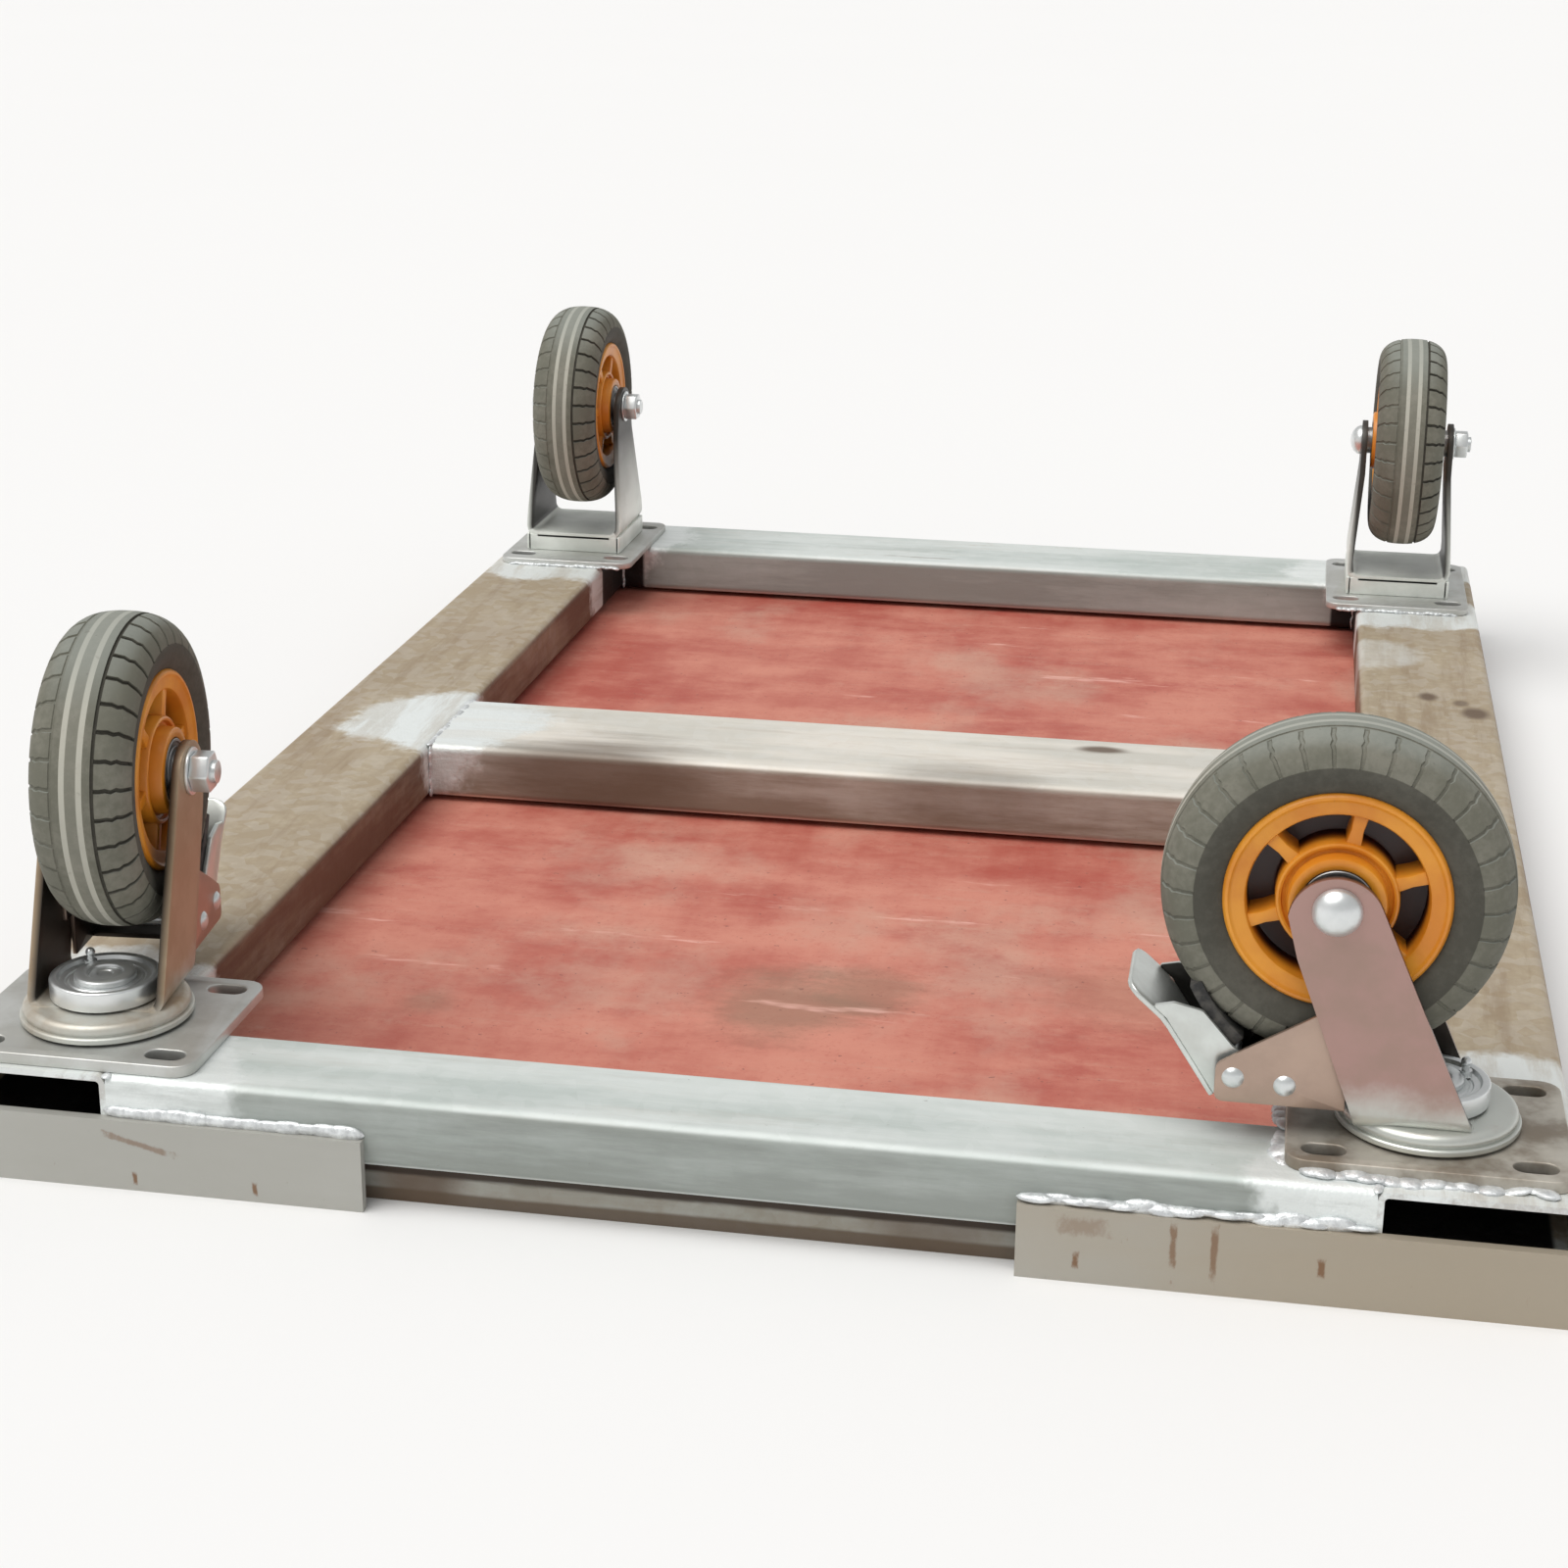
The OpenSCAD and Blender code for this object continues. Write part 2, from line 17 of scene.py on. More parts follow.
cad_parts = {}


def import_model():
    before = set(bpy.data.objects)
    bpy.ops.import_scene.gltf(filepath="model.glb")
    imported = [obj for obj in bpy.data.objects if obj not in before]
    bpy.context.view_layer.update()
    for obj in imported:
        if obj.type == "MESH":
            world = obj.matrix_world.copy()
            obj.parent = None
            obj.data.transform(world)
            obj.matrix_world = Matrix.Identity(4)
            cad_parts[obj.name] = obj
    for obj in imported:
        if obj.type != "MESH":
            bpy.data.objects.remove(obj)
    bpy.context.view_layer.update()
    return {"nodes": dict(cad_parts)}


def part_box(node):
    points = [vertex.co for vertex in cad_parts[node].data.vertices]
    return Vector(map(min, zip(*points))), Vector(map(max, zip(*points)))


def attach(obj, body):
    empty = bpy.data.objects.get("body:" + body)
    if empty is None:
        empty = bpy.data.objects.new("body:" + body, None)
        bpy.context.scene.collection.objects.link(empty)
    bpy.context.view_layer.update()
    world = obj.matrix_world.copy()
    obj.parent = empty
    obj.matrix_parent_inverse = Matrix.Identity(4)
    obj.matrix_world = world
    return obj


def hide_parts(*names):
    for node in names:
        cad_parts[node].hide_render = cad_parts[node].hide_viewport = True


Mesh, Material, Object = bpy.types.Mesh, bpy.types.Material, bpy.types.Object
LOG = logging.getLogger("truck")
MM = 0.001
Colour = tuple[float, float, float]
Point2 = tuple[float, float]
Point3 = tuple[float, float, float]
EVEN: Point3 = (1.0, 1.0, 1.0)


# ---------------------------------------------------------------- node graphs


class Wire:
    """An output socket that Python arithmetic can use: an expression on it adds its Math nodes."""

    def __init__(self, graph: "Graph", socket: bpy.types.NodeSocket) -> None:
        """Wraps a socket of the graph."""
        self.graph = graph
        self.socket = socket

    def math(self, operation: str, *others: "Value", first: Optional["Value"] = None) -> "Wire":
        """Adds a Math node.

        Args:
            operation: the Math node's operation.
            others: the operands after this one.
            first: an operand that comes before this one.

        Returns:
            The node's result.
        """
        operands = [self, *others] if first is None else [first, self]
        made = self.graph.node(self.graph.math_kind, {"operation": operation}, dict(enumerate(operands)))
        return Wire(self.graph, made.outputs[0])

    def __add__(self, other: "Value") -> "Wire":
        """Sum."""
        return self.math("ADD", other)

    def __sub__(self, other: "Value") -> "Wire":
        """Difference."""
        return self.math("SUBTRACT", other)

    def __rsub__(self, other: "Value") -> "Wire":
        """Difference from a value on the left."""
        return self.math("SUBTRACT", first=other)

    def __mul__(self, other: "Value") -> "Wire":
        """Product."""
        return self.math("MULTIPLY", other)

    def __truediv__(self, other: "Value") -> "Wire":
        """Quotient."""
        return self.math("DIVIDE", other)

    __radd__ = __add__
    __rmul__ = __mul__

    def size(self) -> "Wire":
        """Absolute value."""
        return self.math("ABSOLUTE")

    def most(self, other: "Value") -> "Wire":
        """The larger of the two."""
        return self.math("MAXIMUM", other)


Value = Union[Wire, float, int, Sequence[float]]


class Graph:
    """A node tree under construction."""

    math_kind = "ShaderNodeMath"

    def __init__(self, tree: bpy.types.NodeTree) -> None:
        """Starts on a node tree."""
        self.tree = tree

    def node(self, kind: str, settings: Optional[dict] = None, inputs: Optional[dict] = None) -> bpy.types.Node:
        """Adds one node.

        Args:
            kind: the node's type.
            settings: its properties, set first; "stops" are a ramp's (position, colour) pairs.
            inputs: a value or a Wire for each socket, by index or name.

        Returns:
            The node.
        """
        made = self.tree.nodes.new(kind)
        for name, value in (settings or {}).items():
            if name == "stops":
                self._set_stops(made.color_ramp.elements, value)
            else:
                setattr(made, name, value)
        for key, value in (inputs or {}).items():
            if isinstance(value, Wire):
                self.tree.links.new(value.socket, made.inputs[key])
            else:
                made.inputs[key].default_value = value
        return made

    @staticmethod
    def _set_stops(elements: bpy.types.ColorRampElements, stops: Sequence[tuple[float, Colour]]) -> None:
        """Gives a colour ramp its stops."""
        while len(elements) < len(stops):
            elements.new(0.5)
        for element, (position, colour) in zip(elements, stops):
            element.position = position
            element.color = (*colour, 1.0)

    def wire(self, kind: str, settings: Optional[dict] = None, inputs: Optional[dict] = None,
             output: Union[int, str] = 0) -> Wire:
        """Adds one node, as node() does, and returns one of its outputs."""
        return Wire(self, self.node(kind, settings, inputs).outputs[output])


class Paint(Graph):
    """A Principled material under construction. Patterns read Object coordinates, in metres."""

    def __init__(self, name: str, **constants: float) -> None:
        """Starts a material.

        Args:
            name: the material's name.
            constants: values for the shader's own sockets, with _ for a space in their names.
        """
        self.material = bpy.data.materials.new(name)
        self.material.use_nodes = True
        super().__init__(self.material.node_tree)
        self.tree.nodes.clear()
        values = {key.replace("_", " "): value for key, value in constants.items()}
        self.shader = self.node("ShaderNodeBsdfPrincipled", {}, values)
        output = self.node("ShaderNodeOutputMaterial")
        self.tree.links.new(self.shader.outputs[0], output.inputs[0])
        self.place = self.wire("ShaderNodeTexCoord", output="Object")

    def coordinate(self, stretch: Point3 = EVEN, shift: Point3 = (0, 0, 0)) -> Wire:
        """Object coordinates, scaled by stretch and then moved by shift."""
        return self.wire("ShaderNodeMapping", {}, {"Vector": self.place, "Scale": stretch, "Location": shift})

    def noise(self, scale: float, detail: float = 4, stretch: Point3 = EVEN, shift: float = 0,
              rough: float = 0.55) -> Wire:
        """Fractal noise from 0 to 1, centred on about 0.5."""
        return self.wire("ShaderNodeTexNoise", {}, {
            "Vector": self.coordinate(stretch, (shift, shift * 0.7, shift * 1.3)),
            "Scale": scale, "Detail": detail, "Roughness": rough})

    def cells(self, scale: float, stretch: Point3 = EVEN) -> Wire:
        """A random value for each Voronoi cell, as in zinc spangle."""
        colour = self.wire("ShaderNodeTexVoronoi", {}, {"Vector": self.coordinate(stretch), "Scale": scale},
                           "Color")
        return self.wire("ShaderNodeSeparateXYZ", {}, {0: colour})

    def ramp(self, value: Value, low: float, high: float) -> Wire:
        """0 below low, 1 above high and smooth between; low may be the larger."""
        return self.wire("ShaderNodeMapRange", {"interpolation_type": "SMOOTHSTEP"},
                         {0: value, 1: low, 2: high, 3: 0.0, 4: 1.0})

    def mix(self, factor: Value, first: Value, second: Value) -> Wire:
        """A colour between first, at factor 0, and second, at 1."""
        colours = [(*c, 1.0) if not isinstance(c, Wire) else c for c in (first, second)]
        return self.wire("ShaderNodeMix", {"data_type": "RGBA"}, {0: factor, 6: colours[0], 7: colours[1]}, 2)

    def axis(self, index: int) -> Wire:
        """One Object coordinate, in metres."""
        return self.wire("ShaderNodeSeparateXYZ", {}, {0: self.place}, index)

    def facing(self, index: int) -> Wire:
        """One component of the surface's normal."""
        normal = self.wire("ShaderNodeNewGeometry", output="Normal")
        return self.wire("ShaderNodeSeparateXYZ", {}, {0: normal}, index)

    def distance(self, point: Point3, stretch: Point3 = EVEN) -> Wire:
        """Distance from a point, in metres, with each axis weighted by stretch."""
        scaled = self.coordinate(stretch)
        target = tuple(p * s for p, s in zip(point, stretch))
        return self.wire("ShaderNodeVectorMath", {"operation": "DISTANCE"}, {0: scaled, 1: target}, 1)

    def attribute(self, name: str) -> Wire:
        """A number that the mesh carries at its points."""
        return self.wire("ShaderNodeAttribute", {"attribute_name": name}, output="Fac")

    def tinted(self, colour: Value, tint: Colour, pattern: Wire, band: Point2, share: Value = 1.0) -> Wire:
        """Lays a tint over a colour.

        Args:
            colour: the colour underneath.
            tint: the colour on top.
            pattern: what decides where the tint lies.
            band: the pattern's values where the tint starts and where it is full.
            share: how much of the tint shows where it is full.

        Returns:
            The new colour.
        """
        mask = self.ramp(pattern, *band)
        return self.mix(mask if share == 1.0 else mask * share, colour, tint)

    def finish(self, colour: Wire, roughness: Optional[Value] = None, height: Optional[Wire] = None,
               depth: float = 0.3, metallic: Optional[Value] = None) -> Material:
        """Feeds the shader.

        Args:
            colour: the base colour.
            roughness: roughness, if it varies.
            height: a bump's height, from 0 to 1.
            depth: what height 1 stands for, in millimetres.
            metallic: metallic, if it varies.

        Returns:
            The material.
        """
        feeds = {"Base Color": colour, "Roughness": roughness, "Metallic": metallic}
        for name, value in feeds.items():
            if value is not None:
                self.tree.links.new(value.socket, self.shader.inputs[name])
        if height is not None:
            bump = self.wire("ShaderNodeBump", {}, {"Strength": 1.0, "Distance": depth * MM, "Height": height})
            self.tree.links.new(bump.socket, self.shader.inputs["Normal"])
        return self.material


class Grain(Enum):
    """The direction in which a tube was drawn, as weights on X, Y and Z that stretch its streaks."""

    ACROSS = (0.12, 1.0, 1.0)
    ALONG = (1.0, 0.12, 1.0)


@dataclass(frozen=True)
class Patch:
    """A blotch on a surface.

    Its centre and radius are in metres, stretch weights its distances along X, Y and Z, and a drip falls by its slope.
    """

    centre: Point3
    radius: float
    strength: float = 1.0
    stretch: Point3 = EVEN
    slope: float = 0.0


# ------------------------------------------------------------------- finishes

SPANGLE: Colour = (0.85, 0.87, 0.88)
RUSTY_DUST: Colour = (0.27, 0.19, 0.115)
GRIME: Colour = (0.16, 0.115, 0.08)
SPECK: Colour = (0.13, 0.09, 0.06)
KNOCK: Colour = (0.13, 0.085, 0.055)
# Painted deep shade under the castor plates.
UNDER_PLATE_SHADE: Colour = (0.012, 0.010, 0.009)
TAN: Colour = (0.34, 0.265, 0.175)
# Painted shade with the red deck's reflection in it, for the side tubes' upright faces.
SIDE_SHADE_RED_BROWN: Colour = (0.135, 0.060, 0.034)
OLD_SILVER: Colour = (0.60, 0.62, 0.58)


@dataclass(frozen=True)
class Galvanised:
    """Weathered galvanised tube: streaked, dusty, with painted shade and a painted red reflection on its upright sides,
    and silver spray at its welds.

    The strata are heights with a colour and a share: below the height, or above it where the share is negative.
    What is covered, given by centre and half size in X and Y, is painted in deep shade.
    """

    name: str
    grain: Grain
    zinc: Colour
    pale: Colour
    dust: Colour
    dust_share: float
    side: Colour
    side_shade_share: float
    patches: tuple[Patch, ...] = ()
    marks: tuple[Patch, ...] = ()
    covered: tuple[tuple[Point2, Point2], ...] = ()
    strata: tuple[tuple[float, Colour, float], ...] = ()
    spray: Colour = (0.80, 0.84, 0.83)

    def material(self) -> Material:
        """Builds the finish."""
        p = Paint(self.name, Metallic=0.25)
        grain = self.grain.value
        streaks, mottle = p.noise(34, 6, grain, 3.1, 0.6), p.noise(48, 6, grain, 21.0, 0.7)
        clouds, fine = p.noise(5.5, 5, shift=7.7, rough=0.6), p.noise(160, shift=1.9)
        colour = p.mix(p.ramp(streaks * 0.6 + clouds * 0.4, 0.40, 0.58), self.zinc, self.pale)
        colour = self._dusted(p, colour, streaks, clouds, fine, mottle)
        # Height bands; on the deck rim the upper band is a painted shadow under the beam, the lower one is darker brown
        # towards the bottom.
        for height, tint, share in self.strata:
            below = p.ramp(p.axis(2) + streaks * 0.004 + mottle * 0.004 - 0.004, height + 0.0012, height - 0.0012)
            colour = p.mix((below if share > 0 else 1 - below) * abs(share), colour, tint)
        roughness = 0.50 + streaks * 0.22
        height = fine * 0.5 + streaks * 0.5
        sprayed = self._spray(p, fine)
        if sprayed is not None:
            colour = p.mix(sprayed * (0.62 + p.ramp(mottle, 0.40, 0.56) * 0.38), colour, self.spray)
            roughness = roughness - sprayed * 0.18
            height = height + sprayed * p.noise(90, 5, shift=9.3, rough=0.7) * 3.0
        # Painted deep shade on the tube under each castor plate, seen through its slots.
        for centre, half in self.covered:
            inside = [p.ramp((p.axis(i) - centre[i]).size(), half[i] - 0.004, half[i] - 0.007) for i in (0, 1)]
            colour = p.mix(inside[0] * inside[1], colour, UNDER_PLATE_SHADE)
        return p.finish(colour, roughness, height, 0.35)

    def _dusted(self, p: Paint, colour: Wire, streaks: Wire, clouds: Wire, fine: Wire, mottle: Wire) -> Wire:
        """The colour under its dust, its sides' painted shade and reflection, dark dirt streaks, specks and knocks."""
        settled = 0.66 - 0.36 * self.dust_share
        cover = clouds * 0.5 + streaks * 0.35 + fine * 0.15
        colour = p.tinted(colour, self.dust, cover, (settled, settled + 0.14), 0.8)
        colour = p.tinted(colour, SPANGLE, p.cells(120), (0.2, 0.9), 0.10)
        # Upright faces get the side colour: painted shade, reddish where it also paints the red deck's reflection; the
        # stain noise only makes its strength uneven.
        upright = 1 - p.ramp(p.facing(2).size(), 0.35, 0.75)
        stain = p.ramp(streaks * 0.3 + clouds * 0.35 + mottle * 0.35, 0.38, 0.56) * 0.55 + 0.45
        colour = p.tinted(colour, RUSTY_DUST, mottle, (0.50, 0.66), self.dust_share * 0.7)
        colour = p.mix(upright * stain * self.side_shade_share, colour, self.side)
        colour = p.tinted(colour, GRIME, p.noise(26, 7, self.grain.value, 12.4, 0.72), (0.66, 0.74), 0.45)
        colour = p.tinted(colour, SPECK, p.noise(230, 3, shift=4.2, rough=0.7), (0.70, 0.76), 0.35)
        for mark in self.marks:
            edge = p.distance(mark.centre, mark.stretch) / mark.radius + streaks * 1.2 - 0.6
            colour = p.tinted(colour, KNOCK, edge, (1.2, 0.4), mark.strength)
        return colour

    def _spray(self, p: Paint, fine: Wire) -> Optional[Wire]:
        """The mask of the silver spray, ragged at its edge."""
        mask: Optional[Wire] = None
        ragged = p.noise(22, 5, shift=5.0, rough=0.65)
        for patch in self.patches:
            reach = p.distance(patch.centre) / patch.radius + ragged * 1.1 - 0.55 + fine * 0.2 - 0.1
            one = p.ramp(reach, 1.06, 0.78) * patch.strength
            mask = one if mask is None else mask.most(one)
        return mask


@dataclass(frozen=True)
class FilmPlywood:
    """Phenolic film-faced plywood, used: scuffed pink where the film has worn, dusty, stained and scratched."""

    name: str = "film_plywood"
    film: Colour = (0.42, 0.090, 0.065)
    deep_film: Colour = (0.36, 0.045, 0.038)
    worn: Colour = (0.60, 0.245, 0.180)
    chalk: Colour = (0.56, 0.36, 0.275)
    stain: Colour = (0.27, 0.17, 0.115)
    scuff: Colour = (0.82, 0.47, 0.40)
    speck: Colour = (0.15, 0.06, 0.05)
    stains: tuple[Patch, ...] = ()

    def material(self) -> Material:
        """Builds the finish."""
        p = Paint(self.name, Metallic=0.0, Specular_IOR_Level=0.35)
        blotches = p.noise(13, 7, (0.7, 1.5, 1), 6.0, 0.68)
        grain = p.noise(70, 5, (0.12, 1.8, 1), 1.0, 0.6)
        fine = p.noise(300, shift=8.0, rough=0.7)
        wear = p.noise(4.2, 7, (1, 1.3, 1), 2.0, 0.66) * 0.40 + blotches * 0.36 \
            + p.noise(7, 6, (2.2, 0.4, 1), 11.0, 0.66) * 0.24
        colour = p.mix(p.ramp(wear, 0.38, 0.60), self.film, self.worn)
        colour = p.tinted(colour, self.chalk, p.noise(5.5, 6, (1.3, 1, 1), 27.0, 0.62), (0.48, 0.66), 0.50)
        colour = p.tinted(colour, self.chalk, grain * 0.6 + fine * 0.4, (0.54, 0.70), 0.25)
        colour = p.tinted(colour, self.film, fine, (0.46, 0.30), 0.30)
        colour = p.tinted(colour, self.deep_film, p.noise(11, 7, (0.8, 1.2, 1), 15.0, 0.7), (0.54, 0.70), 0.42)
        for patch in self.stains:
            edge = p.distance(patch.centre) / patch.radius + blotches * 1.8 - 0.9 + fine * 0.4 - 0.2
            colour = p.tinted(colour, self.stain, edge, (1.1, 0.3), patch.strength)
        scuffs = p.ramp(p.noise(17, 5, (0.35, 1.9, 1), 33.0, 0.6), 0.655, 0.72)
        colour = p.mix(scuffs * 0.65, colour, self.scuff)
        colour = p.tinted(colour, self.speck, p.noise(260, 2, shift=3.0), (0.70, 0.75), 0.5)
        roughness = 0.50 + p.ramp(wear, 0.40, 0.60) * 0.24
        return p.finish(colour, roughness, grain * 0.4 + fine * 0.3 + scuffs * 0.4, 0.2)


@dataclass(frozen=True)
class SprayedSteel:
    """Flat bar sprayed silver, with dust, rust drips and dark knocks. It grows dustier past dust_from, along X."""

    name: str = "corner_steel"
    silver: Colour = (0.42, 0.415, 0.38)
    bright: Colour = (0.50, 0.50, 0.47)
    dusty: Colour = (0.38, 0.31, 0.22)
    rust: Colour = (0.20, 0.10, 0.045)
    knock: Colour = (0.10, 0.085, 0.07)
    drips: tuple[Patch, ...] = ()
    dust_from: float = 0.0

    def material(self) -> Material:
        """Builds the finish."""
        p = Paint(self.name, Metallic=0.3)
        clouds = p.noise(9, 5, (0.6, 1, 1.4), 2.2, 0.6)
        fine, brushed = p.noise(210), p.noise(60, 4, (0.15, 1, 1.5), 6.6)
        dusty = p.ramp(p.axis(0) + clouds * 0.3 - 0.15, self.dust_from, self.dust_from + 0.25)
        colour = p.mix(p.ramp(clouds + brushed * 0.4, 0.45, 0.95) * 0.5, self.silver, self.bright)
        colour = p.mix(dusty * 0.75, colour, self.dusty)
        ragged = p.noise(170, 6, (1, 1, 0.6), 3.3, 0.7) * 2.4 - 1.2
        for drip in self.drips:
            run = p.axis(0) - drip.centre[0]
            rise = p.axis(2) - drip.centre[2] + run * drip.slope
            edge = (run * drip.stretch[0]).size().most((rise * drip.stretch[2]).size()) / drip.radius
            colour = p.tinted(colour, self.rust, edge + ragged, (1.2, 0.4), drip.strength)
        colour = p.tinted(colour, self.rust, p.noise(75, 5, (1, 1, 0.5), 13.0, 0.7), (0.68, 0.76), 0.6)
        colour = p.tinted(colour, self.knock, p.noise(38, 3, (1, 1, 0.7), 23.0), (0.73, 0.76), 0.8)
        return p.finish(colour, 0.42 + brushed * 0.25, fine * 0.6 + brushed * 0.4, 0.25)


@dataclass(frozen=True)
class WeldMetal:
    """A weld bead under a coat of silver spray."""

    name: str = "weld_metal"
    silver: Colour = (0.84, 0.87, 0.88)
    hollow: Colour = (0.56, 0.58, 0.59)
    burnt: Colour = (0.20, 0.17, 0.15)

    def material(self) -> Material:
        """Builds the finish."""
        p = Paint(self.name, Metallic=0.45)
        lumps = p.noise(150, 5, shift=1.0, rough=0.65)
        # The bead is darker in the hollows between its lumps: painted shade.
        colour = p.mix(p.ramp(lumps, 0.35, 0.65), self.hollow, self.silver)
        colour = p.tinted(colour, self.burnt, p.noise(34, shift=8.0, rough=0.65), (0.60, 0.70), 0.30)
        return p.finish(colour, 0.26 + lumps * 0.25, lumps, 1.0)


@dataclass(frozen=True)
class ZincPlate:
    """Zinc-plated pressed steel: satin, faintly clouded, with handling marks, and its foot in another colour or not."""

    name: str
    zinc: Colour
    shade: Colour
    roughness: float
    metallic: float = 0.8
    foot: Optional[Colour] = None
    foot_top: float = 0.10
    handled: Colour = (0.25, 0.21, 0.17)
    # The colour of the painted shade inside a fork or a bracket.
    inside: Colour = (0.02, 0.017, 0.014)

    def material(self) -> Material:
        """Builds the finish. A mesh attribute is 1 inside a fork or a bracket, where the inside colour paints deep
        shade.
        """
        p = Paint(self.name, Metallic=self.metallic)
        clouds = p.noise(24, 5, shift=2.0, rough=0.6)
        fine, wiped = p.noise(300, 3), p.noise(60, 5, (1, 0.3, 1), 5.0, 0.6)
        colour = p.mix(p.ramp(clouds, 0.38, 0.64), self.zinc, self.shade)
        if self.foot is not None:
            low = p.ramp(p.axis(2) + clouds * 0.05 - 0.025, self.foot_top, self.foot_top - 0.025)
            colour = p.mix(low, colour, self.foot)
        colour = p.tinted(colour, self.handled, p.noise(85, 6, (1, 1, 0.4), 12.0, 0.72), (0.68, 0.76), 0.45)
        # Painted deep shade between a fork's legs and inside the brake's bracket and pedal.
        colour = p.mix(p.attribute("grime") * 0.96, colour, self.inside)
        return p.finish(colour, self.roughness - 0.06 + wiped * 0.16, fine * 0.4 + wiped * 0.6, 0.12)


@dataclass(frozen=True)
class TyreRubber:
    """Grey rubber: dusty on the tread's blocks, dark in its grooves and pale on its centre rib; the blocks' upward
    faces are paler still, painted light from above with settled dust.
    """

    name: str = "tyre_rubber"
    wall: Colour = (0.068, 0.065, 0.052)
    block: Colour = (0.142, 0.140, 0.110)
    groove: Colour = (0.050, 0.047, 0.036)
    rib: Colour = (0.44, 0.43, 0.37)
    dust: Colour = (0.36, 0.34, 0.29)
    # Paler greenish colour for the blocks' upward faces: painted light from above, with settled dust.
    settled: Colour = (0.30, 0.325, 0.30)
    worn: Colour = (0.05, 0.045, 0.035)

    def material(self) -> Material:
        """Builds the finish. The tread attribute is 0 in a groove, 1 on a wall, 2 on a block and 3 on the rib."""
        p = Paint(self.name, Metallic=0.0, Specular_IOR_Level=0.3)
        tread = p.attribute("tread")
        clouds, dust = p.noise(28, 5, shift=3.0, rough=0.65), p.noise(240, shift=9.0, rough=0.65)
        colour = p.mix(p.ramp(tread, 0.1, 0.9), self.groove, self.wall)
        colour = p.tinted(colour, self.block, tread, (1.1, 1.9))
        colour = p.tinted(colour, self.rib, tread, (2.1, 2.9))
        share = p.ramp(tread, 1.1, 1.9) * 0.18 + 0.10
        colour = p.mix(p.ramp(clouds * 0.6 + dust * 0.4, 0.42, 0.66) * share, colour, self.dust)
        # Painted light from above, with settled dust, on the blocks' upward faces.
        on_top = p.ramp(p.facing(2), 0.55, 0.95) * p.ramp(tread, 1.5, 2.0)
        colour = p.mix(on_top * 0.5, colour, self.settled)
        colour = p.tinted(colour, self.worn, dust, (0.62, 0.72), 0.25)
        return p.finish(colour, 0.66 + clouds * 0.22, dust, 0.15)


@dataclass(frozen=True)
class HubPlastic:
    """Orange moulded plastic with a soft sheen and painted shade deep in its pockets."""

    name: str = "hub_plastic"
    orange: Colour = (0.64, 0.215, 0.012)
    lit: Colour = (0.76, 0.31, 0.025)
    # The colour of the painted shade deep in the pockets.
    grime: Colour = (0.030, 0.006, 0.004)
    speck: Colour = (0.22, 0.09, 0.03)

    def material(self) -> Material:
        """Builds the finish. A mesh attribute is 1 deep in a pocket, where the hub is painted in shade."""
        p = Paint(self.name, Metallic=0.0, Coat_Weight=0.15, Coat_Roughness=0.25)
        clouds = p.noise(30, shift=4.0)
        colour = p.mix(p.ramp(clouds, 0.35, 0.65), self.orange, self.lit)
        # Painted shade, darkest deep in the pockets.
        colour = p.tinted(colour, self.grime, p.attribute("grime") + clouds * 0.4, (0.30, 1.00))
        colour = p.tinted(colour, self.speck, p.noise(150, shift=6.0, rough=0.7), (0.66, 0.74), 0.4)
        return p.finish(colour, 0.34 + clouds * 0.16, p.noise(520, 3, shift=2.0), 0.06)


@dataclass(frozen=True)
class BlackRubber:
    """The brake shoe's rubber, black under its dust."""

    name: str = "black_rubber"
    rubber: Colour = (0.018, 0.018, 0.018)
    dusty: Colour = (0.075, 0.070, 0.062)

    def material(self) -> Material:
        """Builds the finish."""
        p = Paint(self.name, Metallic=0.0)
        dust = p.noise(180, 5)
        colour = p.mix(p.ramp(dust, 0.40, 0.70), self.rubber, self.dusty)
        return p.finish(colour, 0.55 + dust * 0.3, dust, 0.1)


# ------------------------------------------------------------- geometry trees


class ShapeTree(Graph):
    """A Geometry Nodes tree with named inputs."""

    def __init__(self, name: str, sockets: dict[str, str]) -> None:
        """Starts a tree.

        Args:
            name: the tree's name.
            sockets: each input's name and socket type, after the geometry.
        """
        super().__init__(bpy.data.node_groups.new(name, "GeometryNodeTree"))
        face = self.tree.interface
        face.new_socket("Geometry", in_out="OUTPUT", socket_type="NodeSocketGeometry")
        made = {"Geometry": face.new_socket("Geometry", in_out="INPUT", socket_type="NodeSocketGeometry")}
        for label, kind in sockets.items():
            made[label] = face.new_socket(label, in_out="INPUT", socket_type=kind)
        self.identifiers = {label: socket.identifier for label, socket in made.items()}
        self.source = self.node("NodeGroupInput")

    def given(self, label: str) -> Wire:
        """One of the tree's inputs."""
        return Wire(self, self.source.outputs[label])

    def close(self, shape: Wire, material: Wire) -> None:
        """Ends the tree: realises the instances, merges their seams and sets the material."""
        real = self.wire("GeometryNodeRealizeInstances", {}, {0: shape})
        merged = self.wire("GeometryNodeMergeByDistance", {}, {"Geometry": real, "Distance": 0.01})
        dressed = self.wire("GeometryNodeSetMaterial", {}, {"Geometry": merged, "Material": material})
        sink = self.node("NodeGroupOutput")
        self.tree.links.new(dressed.socket, sink.inputs[0])

    def run(self, mesh: Mesh, values: dict[str, object]) -> Mesh:
        """Runs the tree on a mesh.

        Args:
            mesh: what the tree's geometry input gets.
            values: a value for each named input.

        Returns:
            The result as a plain mesh.
        """
        carrier = linked("carrier", mesh)
        modifier = carrier.modifiers.new("shape", "NODES")
        modifier.node_group = self.tree
        for label, value in values.items():
            modifier[self.identifiers[label]] = value
        return baked(carrier)


